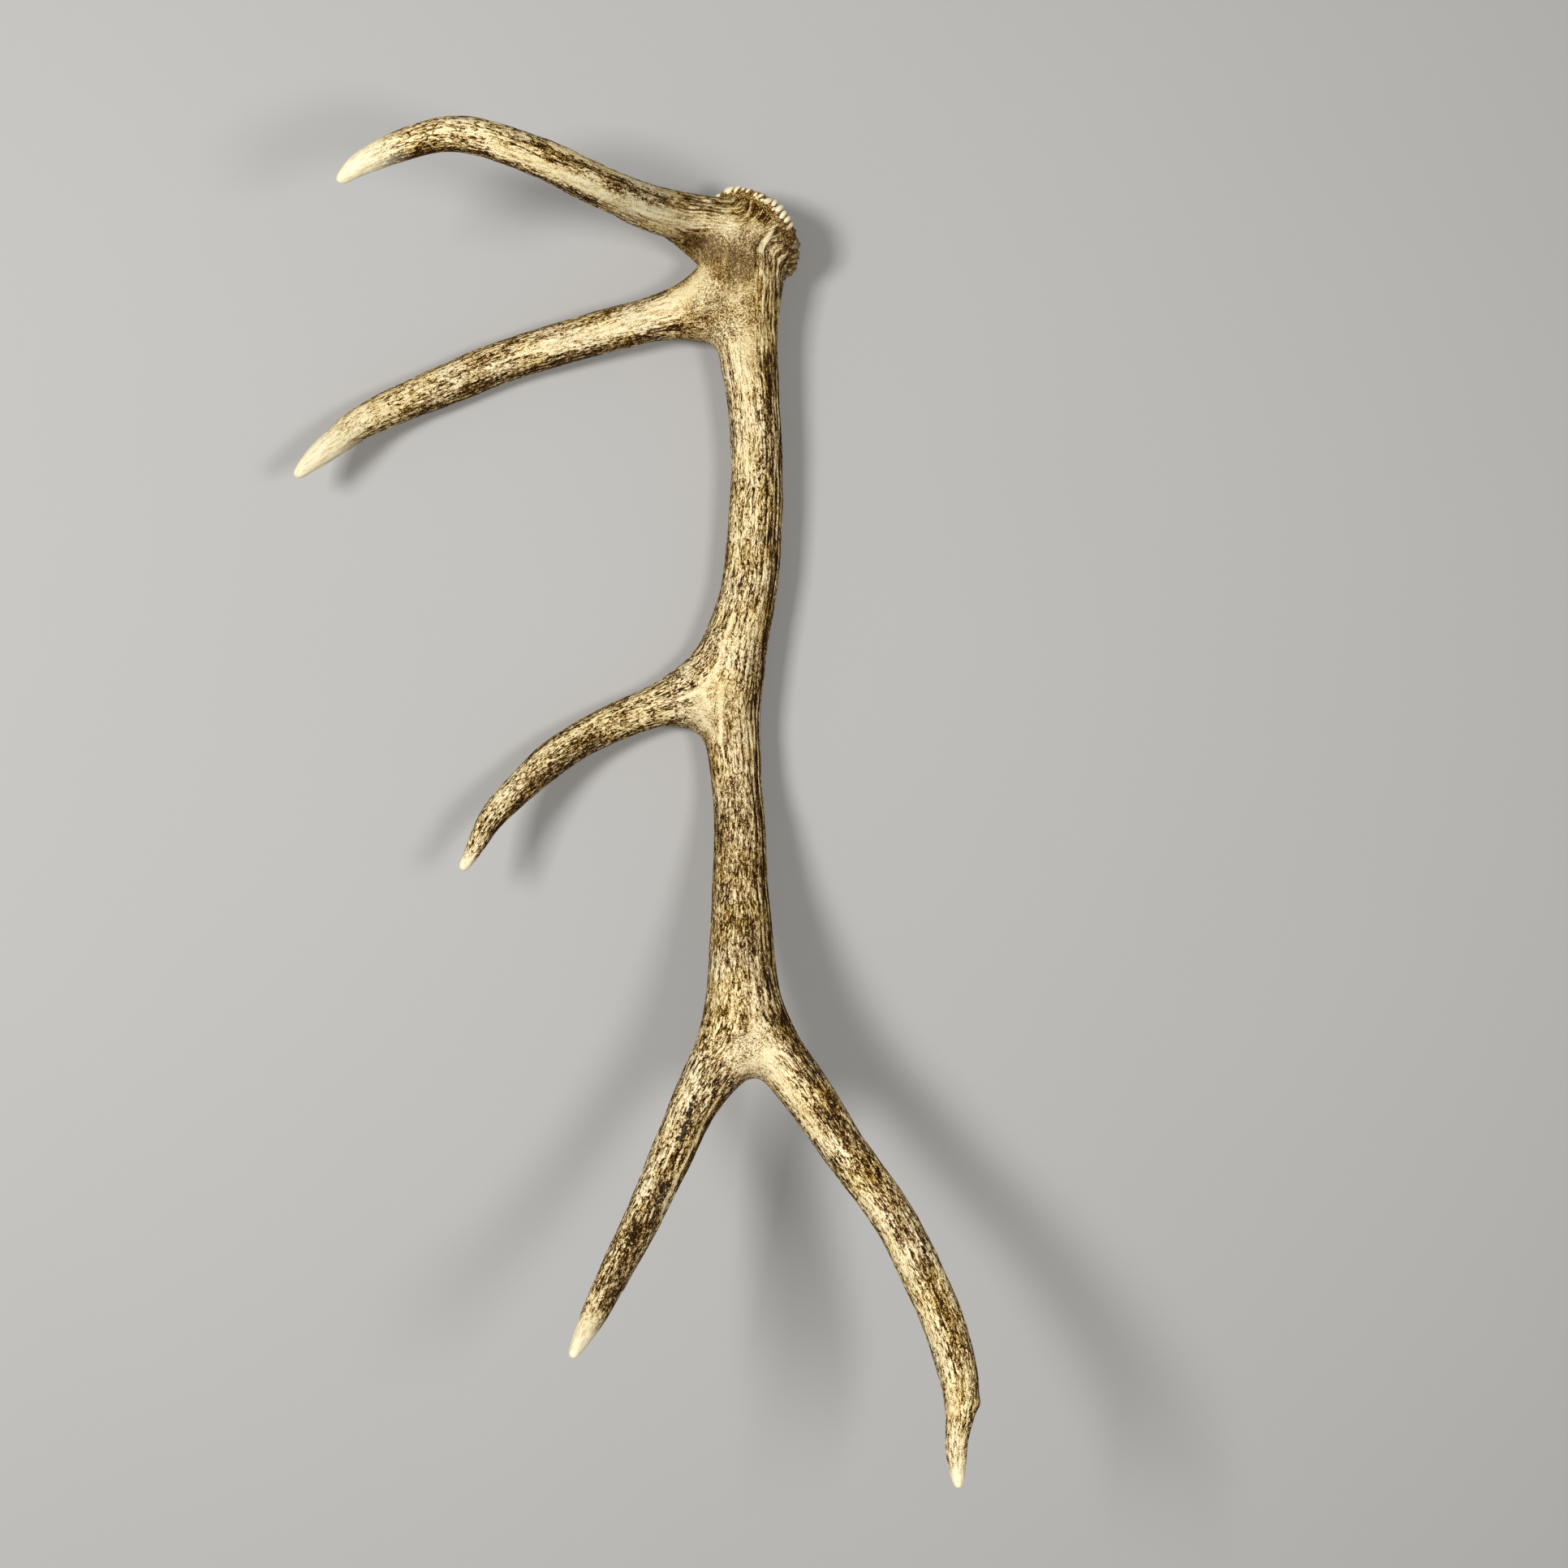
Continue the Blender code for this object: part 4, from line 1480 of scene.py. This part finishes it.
def fanned_out(nodes):
    """Coordinates that run straight along the grooves that fan out from the burr, in metres."""
    return nodes.joined(nodes.value_of("fan_across"), 0.0, nodes.value_of("fan_along"))


def scaled(nodes, vector, size):
    """A vector drawn out along its axes."""
    node = nodes.add("ShaderNodeMapping")
    nodes.feed(node.inputs["Vector"], vector)
    node.inputs["Scale"].default_value = size
    return node.outputs[0]


def fine_marks(nodes, vector, scale):
    """Pale grains parted by a net of thin dark lines, about 0 to 1."""
    net = nodes.noise(vector, scale * 0.5, 2.0, 0.6, 0.7)
    parted = nodes.math("ABSOLUTE", nodes.math("SUBTRACT", net, 0.5))
    grains = nodes.noise(vector, scale * 1.2, 3.0, 0.65, 0.3)
    lines = nodes.spread(parted, 0.0, 0.08, -0.28, 0.12)
    return nodes.vary(grains, 1.7, lines)


def grain_marks(nodes, places, scale):
    """The small dark marks, along the grain, along the fan, or loose in the crotches."""
    here, rod, swept = places
    marks = fine_marks(nodes, scaled(nodes, rod, (1.0, 1.0, 0.3)), scale)
    turned = fine_marks(nodes, scaled(nodes, swept, (1.0, 1.0, 0.25)), scale)
    specks = fine_marks(nodes, here, scale * 1.1)
    marks = nodes.blend(nodes.value_of("fan"), marks, turned)
    return nodes.blend(nodes.value_of("loose"), marks, specks)


def long_fibres(nodes, places, scale):
    """Thin streaks along the grain, 0 to 1."""
    here, rod, _ = places
    fibres = nodes.noise(scaled(nodes, rod, (1.0, 1.0, 0.07)), scale * 0.8, 2.0, 0.6)
    return nodes.blend(nodes.value_of("loose"), fibres, nodes.noise(here, scale, 2.0, 0.6))


def stained_patches(nodes, places, fibres):
    """Paler and browner patches, with the stains that belong to places on the antler."""
    here, rod, _ = places
    grooved = nodes.value_of("grooved")
    strewn = nodes.math("MULTIPLY_ADD", grooved, -0.6, 1.2)
    streaks = nodes.noise(scaled(nodes, rod, (1.0, 1.0, 0.25)), 110.0, 3.0, 0.6)
    patches = nodes.blend(nodes.value_of("loose"), streaks, nodes.noise(here, 60.0, 4.0, 0.6))
    patched = nodes.math("MULTIPLY_ADD", grooved, -0.9, 1.3)
    rested = nodes.math("MULTIPLY_ADD", nodes.value_of("calm"), -0.7, 1.0)
    patched = nodes.math("MULTIPLY", patched, rested)
    stained = nodes.math("MULTIPLY", nodes.math("SUBTRACT", fibres, 0.5), strewn)
    stained = nodes.vary(patches, patched, stained)
    stained = nodes.math("MULTIPLY_ADD", nodes.value_of("stain"), -0.85, stained)
    return nodes.spread(stained, -0.7, 0.7, -0.37, 0.44)


def long_grooves(nodes, places):
    """The long grooves: brown between their crests, with thin dark lines along them."""
    _, rod, swept = places
    fan = nodes.value_of("fan")
    furrows = nodes.noise(scaled(nodes, rod, (1.0, 1.0, 0.025)), 330.0, 1.0, 0.4, 0.2)
    furrow = nodes.math("SUBTRACT", furrows, 0.5)
    line = nodes.spread(nodes.math("ABSOLUTE", furrow), 0.0, 0.05, -0.42, 0.06)
    across = nodes.math("MULTIPLY", nodes.value_of("fan_across"), 2 * pi / (FAN_PITCH * MM))
    wave = nodes.math("COSINE", across)
    swept_furrow = nodes.noise(scaled(nodes, swept, (1.0, 1.0, 0.045)), 640.0, 2.0, 0.5, 0.2)
    swept_furrow = nodes.math("SUBTRACT", swept_furrow, 0.5)
    swept_furrow = nodes.math("MULTIPLY_ADD", wave, 0.06, swept_furrow)
    swept_line = nodes.spread(nodes.math("ABSOLUTE", swept_furrow), 0.0, 0.07, -0.46, 0.06)
    furrow = nodes.blend(fan, furrow, swept_furrow)
    line = nodes.blend(fan, line, swept_line)
    rise = nodes.spread(nodes.value_of("crest"), -0.35, 0.35, -0.26, 0.22)
    worked = nodes.math("MULTIPLY_ADD", furrow, 1.7, nodes.math("ADD", line, rise))
    worked = nodes.math("MULTIPLY", worked, nodes.value_of("grooved"))
    return nodes.spread(worked, -0.75, 0.65, -0.36, 0.31)


def bone_tone(nodes, here, fine, stained, worked):
    """How pale the bone is, from 0, nearly black, to 1, ivory."""
    strength = nodes.math("MULTIPLY_ADD", nodes.value_of("grooved"), -1.05, 2.2)
    shown = nodes.math("SUBTRACT", 1.0, nodes.value_of("calm"))
    strength = nodes.math("MULTIPLY", strength, shown)
    tied = nodes.math("MULTIPLY_ADD", nodes.value_of("loose"), -0.4, 1.0)
    strength = nodes.math("MULTIPLY", strength, tied)
    grit = nodes.noise(here, 1400.0, 1.0, 0.5)
    tone = nodes.math("MULTIPLY_ADD", fine, strength, 0.545)
    tone = nodes.vary(grit, 1.7, tone)
    # Darker where hollow is high: stained grooves and dents, with painted shade along the edges and in
    # the burr's gaps.
    tone = nodes.math("MULTIPLY_ADD", nodes.value_of("hollow"), -0.2, tone)
    return nodes.math("ADD", tone, nodes.math("ADD", stained, worked))


def bone_colour(nodes, settings, here, tone, fibres):
    """The bone's colour for its tone, with the scorched patches, the dull hollow and the tips."""
    stops = (
        (0.0, settings.darkest),
        (0.17, settings.umber),
        (0.36, settings.brown),
        (0.54, settings.tan),
        (0.74, settings.cream),
        (1.0, settings.ivory),
    )
    colour = nodes.ramp(tone, stops)
    charred = nodes.vary(nodes.noise(here, 360.0, 3.0, 0.7), 2.6, nodes.value_of("scorch"))
    colour = nodes.mix(nodes.spread(charred, 0.72, 0.84, 0.0, 0.93), colour, settings.darkest)
    dusty = nodes.math("MULTIPLY", nodes.value_of("dust"), 0.3)
    colour = nodes.mix(dusty, colour, settings.dust)
    toned = nodes.add("ShaderNodeHueSaturation")
    faded = nodes.spread(nodes.noise(here, 26.0, 2.0), 0.35, 0.65, 0.97, 1.12)
    nodes.feed(toned.inputs["Saturation"], faded)
    nodes.feed(toned.inputs["Color"], colour)
    worn = nodes.ramp(nodes.spread(fibres, 0.3, 0.6), ((0.0, settings.cream), (0.5, settings.tip)))
    return nodes.mix(nodes.math("MULTIPLY", nodes.value_of("polish"), 0.88), toned.outputs[0], worn)


def bone_finish(settings):
    """Dry antler: pale worn ridges, brown hollows, painted shade along the edges and in the burr's
    gaps, and short dark marks that follow the grain.
    """
    nodes = Nodes("antler bone")
    here = nodes.add("ShaderNodeTexCoord").outputs["Object"]
    places = (here, unrolled(nodes), fanned_out(nodes))
    fibres = long_fibres(nodes, places, settings.mark_scale)
    worked = long_grooves(nodes, places)
    drawn = nodes.math("MULTIPLY_ADD", nodes.value_of("grooved"), 0.6, 0.5)
    fine = grain_marks(nodes, places, settings.mark_scale)
    fine = nodes.vary(fibres, drawn, fine)
    tone = bone_tone(nodes, here, fine, stained_patches(nodes, places, fibres), worked)
    shader = nodes.shader
    nodes.feed(shader.inputs["Base Color"], bone_colour(nodes, settings, here, tone, fibres))

    polish = nodes.value_of("polish")
    rough = nodes.spread(tone, 0.1, 0.9, 0.78, 0.5)
    nodes.feed(shader.inputs["Roughness"], nodes.blend(polish, rough, 0.34))
    shader.inputs["Specular IOR Level"].default_value = 0.1

    bump = nodes.add("ShaderNodeBump")
    bump.inputs["Strength"].default_value = 0.7
    bump.inputs["Distance"].default_value = 0.0006
    quiet = nodes.math("SUBTRACT", 1.0, nodes.math("MULTIPLY", polish, 0.9))
    relief = nodes.math("MULTIPLY", nodes.math("ADD", fine, worked), quiet)
    nodes.feed(bump.inputs["Height"], relief)
    nodes.feed(shader.inputs["Normal"], bump.outputs[0])
    return nodes.material


def plain_finish(name, colour, roughness):
    """Matt paper for the floor, with a breath of unevenness."""
    nodes = Nodes(name)
    here = nodes.add("ShaderNodeTexCoord").outputs["Object"]
    uneven = nodes.noise(here, 3.0, 4.0)
    darker = [channel * 0.97 for channel in colour[:3]] + [1.0]
    nodes.feed(nodes.shader.inputs["Base Color"], nodes.mix(uneven, list(colour), darker))
    nodes.shader.inputs["Roughness"].default_value = roughness
    return nodes.material


# ---------------------------------------------------------------------------------------------
# Settings
# ---------------------------------------------------------------------------------------------


def colour_setting(name, description, default):
    """A colour that a user may change."""
    return bpy.props.FloatVectorProperty(
        name=name,
        description=description,
        subtype="COLOR",
        size=4,
        min=0.0,
        max=1.0,
        default=default,
    )


def number_setting(name, description, default, **limits):
    """A number that a user may change."""
    return bpy.props.FloatProperty(
        name=name, description=description, default=default, **limits
    )


def count_setting(name, description, default, **limits):
    """A whole number that a user may change."""
    return bpy.props.IntProperty(
        name=name, description=description, default=default, **limits
    )


class AntlerGrowthSettings(bpy.types.PropertyGroup):
    """How the skin of the antler is worked."""

    detail: count_setting("Detail", "Times that the cage of the antler is subdivided", 4, min=1, max=4)
    lump_height: number_setting(
        "Lump Height", "Height of the broad lumps of the bone, in millimetres", 0.55, min=0.0, max=3.0
    )
    groove_depth: number_setting(
        "Groove Depth", "Depth of the long grooves, in millimetres", 0.75, min=0.0, max=3.0
    )
    dent_depth: number_setting(
        "Dent Depth", "Depth of the small dents between the grooves, in millimetres",
        0.16, min=0.0, max=1.0,
    )


class AntlerBurrSettings(bpy.types.PropertyGroup):
    """The knobbly ring at the base of the antler."""

    radius: number_setting(
        "Radius", "Radius of the rim under its pearls, in millimetres", 42.0, min=20.0, max=80.0
    )
    pearls: count_setting("Pearls", "Number of large pearls around the rim", 43, min=8, max=80)
    pearl_length: number_setting(
        "Pearl Length", "Half of how far a pearl stands out, in millimetres", 2.6, min=1.0, max=10.0
    )
    pearl_width: number_setting(
        "Pearl Width", "Half of a pearl's width along the rim, in millimetres", 2.05, min=1.0, max=10.0
    )
    pearl_height: number_setting(
        "Pearl Height", "Half of a pearl's height across the rim, in millimetres",
        4.6, min=1.0, max=10.0,
    )
    pearl_lean: number_setting(
        "Pearl Lean", "Most that a pearl leans up or down", 0.4, subtype="ANGLE", min=0.0, max=1.0
    )
    fineness: number_setting(
        "Fineness", "Size of the grains from which the rim is melted together, in millimetres",
        0.6, min=0.3, max=3.0,
    )
    seed: count_setting("Seed", "Number that sets the pearls' places and sizes", 4, min=0)


class AntlerFinishSettings(bpy.types.PropertyGroup):
    """The colours of the bone."""

    ivory: colour_setting("Ivory", "The palest, most worn bone", (0.90, 0.79, 0.50, 1.0))
    cream: colour_setting("Cream", "Clean bone", (0.72, 0.56, 0.295, 1.0))
    tan: colour_setting("Tan", "Lightly stained bone", (0.455, 0.317, 0.13, 1.0))
    brown: colour_setting("Brown", "Bone in the hollows", (0.243, 0.132, 0.031, 1.0))
    umber: colour_setting("Umber", "Dark streaks", (0.086, 0.035, 0.003, 1.0))
    darkest: colour_setting("Darkest", "The deepest marks", (0.017, 0.006, 0.0005, 1.0))
    dust: colour_setting("Dust", "The dull hollow near the burr", (0.19, 0.135, 0.07, 1.0))
    tip: colour_setting("Tip", "The polished ends of the tines", (0.89, 0.80, 0.55, 1.0))
    mark_scale: number_setting(
        "Mark Scale", "Number of dark marks in a metre across the grain", 680.0, min=20.0, max=2000.0
    )


class AntlerStageSettings(bpy.types.PropertyGroup):
    """The floor and the light of the studio."""

    floor: colour_setting("Floor", "Colour of the floor", (0.44, 0.43, 0.415, 1.0))
    floor_size: number_setting(
        "Floor Size", "Length of each side of the floor", 40.0, unit="LENGTH", min=1.0
    )
    side_light: number_setting(
        "Side Light", "Power of the two soft lights beside the antler", 39.0, unit="POWER", min=0.0
    )
    sky: number_setting("Sky", "Strength of the light from all around", 0.24, min=0.0)


# ---------------------------------------------------------------------------------------------
# Operators
# ---------------------------------------------------------------------------------------------


def finish_for(context):
    """The bone's finish, made once."""
    return bpy.data.materials.get("antler bone") or bone_finish(context.scene.antler_finish)


def settle(piece, bone, *nodes):
    """Give a piece its finish and its place in the model."""
    piece.data.materials.clear()
    piece.data.materials.append(bone)
    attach(piece, BODY)
    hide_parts(*nodes)


def check_places(surface_box, nodes_box):
    """Stop if the bone isn't where the frame's solids are."""
    pairs = [pair for corners in zip(surface_box, nodes_box) for pair in zip(*corners)]
    apart = max(abs(mine - theirs) for mine, theirs in pairs)
    if apart > PLACE_TOLERANCE:
        raise RuntimeError(f"the bone lies {apart:.4f} m away from the frame's solids")


class ANTLER_OT_grow_branches(bpy.types.Operator):
    """Grow the beam and its tines, in one piece for each of the frame's solids"""

    bl_idname = "antler.grow_branches"
    bl_label = "Grow Beam and Tines"

    def execute(self, context):
        scene = context.scene
        surface = worked_surface(scene.antler_growth, scene.antler_burr)
        normals = vertex_normals(surface)
        pieces = face_pieces(surface)
        bone = finish_for(context)
        for number, node in enumerate(PIECES):
            chosen = pieces == number
            if not chosen.any():
                raise RuntimeError(f"no part of the skin belongs to {node}")
            piece = bone_piece(surface, chosen, normals, piece_name(node))
            if node != "burr_base":
                corners = np.array(piece.bound_box)
                check_places((corners.min(axis=0), corners.max(axis=0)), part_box(node))
            settle(piece, bone, node)
        return {"FINISHED"}


class ANTLER_OT_shape_burr(bpy.types.Operator):
    """Shape the burr: a folded rim with pearls around the rough seal"""

    bl_idname = "antler.shape_burr"
    bl_label = "Shape Burr"

    def execute(self, context):
        bone = finish_for(context)
        piece = burr_piece(context.scene.antler_burr, bone)
        if len(piece.data.polygons) == 0:
            raise RuntimeError("the burr came out empty")
        settle(piece, bone, "burr_base")
        return {"FINISHED"}


class ANTLER_OT_set_stage(bpy.types.Operator):
    """Lay a pale floor, hang two soft lights and place the camera above the antler"""

    bl_idname = "antler.set_stage"
    bl_label = "Set Stage"

    def execute(self, context):
        settings = context.scene.antler_stage
        lay_floor(settings)
        for name, place, size, share in LIGHTS:
            hang_light(name, place, size, settings.side_light * share)
        light_sky(context.scene, settings.sky)
        context.scene.view_settings.view_transform = "Standard"
        context.scene.camera = camera_above()
        return {"FINISHED"}


def lay_floor(settings):
    """The floor on which the antler lies."""
    half = settings.floor_size / 2
    mesh = bpy.data.meshes.new("floor")
    corners = [(x * half, y * half, 0.0) for x, y in ((-1, -1), (1, -1), (1, 1), (-1, 1))]
    mesh.from_pydata(corners, [], [(0, 1, 2, 3)])
    mesh.materials.append(plain_finish("floor paper", settings.floor, 0.9))
    object_of(mesh, "floor")


def hang_light(name, place, size, power):
    """A soft square light at a place given in the antler's frame, aimed at its middle."""
    lamp = bpy.data.lights.new(name, "AREA")
    lamp.shape = "SQUARE"
    lamp.size = size
    lamp.energy = power
    thing = object_of(lamp, name)
    thing.location = LIE @ Vector(place)
    target = LIE @ Vector(LIGHT_TARGET)
    thing.rotation_euler = (target - thing.location).to_track_quat("-Z", "Y").to_euler()


def light_sky(scene, strength):
    """Even light from all around."""
    world = bpy.data.worlds.new("studio")
    world.use_nodes = True
    background = world.node_tree.nodes["Background"]
    background.inputs["Color"].default_value = SKY_COLOUR
    background.inputs["Strength"].default_value = strength
    scene.world = world


def camera_above():
    """The camera straight above the antler's front, at the photograph's distance."""
    lens = bpy.data.cameras.new("camera")
    lens.lens = CAMERA_LENS
    lens.sensor_width = CAMERA_SENSOR
    camera = object_of(lens, "camera")
    camera.location = LIE @ Vector(CAMERA_PLACE)
    camera.rotation_euler = LIE_TURN
    return camera


class ANTLER_PT_panel(bpy.types.Panel):
    """The antler's steps and settings."""

    bl_idname = "ANTLER_PT_panel"
    bl_label = "Deer Antler"
    bl_space_type = "VIEW_3D"
    bl_region_type = "UI"
    bl_category = "Antler"

    def draw(self, context):
        """List each step above its settings."""
        scene = context.scene
        for operator, settings in STEPS:
            box = self.layout.box()
            box.operator(operator.bl_idname)
            group = getattr(scene, settings)
            for name in group.bl_rna.properties.keys():
                if name not in ("rna_type", "name"):
                    box.prop(group, name)
        box = self.layout.box()
        for name in scene.antler_finish.bl_rna.properties.keys():
            if name not in ("rna_type", "name"):
                box.prop(scene.antler_finish, name)


STEPS = (
    (ANTLER_OT_set_stage, "antler_stage"),
    (ANTLER_OT_grow_branches, "antler_growth"),
    (ANTLER_OT_shape_burr, "antler_burr"),
)
GROUPS = {
    "antler_growth": AntlerGrowthSettings,
    "antler_burr": AntlerBurrSettings,
    "antler_finish": AntlerFinishSettings,
    "antler_stage": AntlerStageSettings,
}
CLASSES = (*GROUPS.values(), *(operator for operator, _ in STEPS), ANTLER_PT_panel)


def register():
    """Make the operators, settings and panel known."""
    for made in CLASSES:
        bpy.utils.register_class(made)
    for name, group in GROUPS.items():
        setattr(bpy.types.Scene, name, bpy.props.PointerProperty(type=group))


def unregister():
    """Take them away again."""
    for name in GROUPS:
        delattr(bpy.types.Scene, name)
    for made in reversed(CLASSES):
        bpy.utils.unregister_class(made)


def main():
    """Make everything."""
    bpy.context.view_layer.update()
    register()
    bpy.ops.antler.set_stage()
    bpy.ops.antler.grow_branches()
    bpy.ops.antler.shape_burr()


if __name__ == "__main__":
    main()
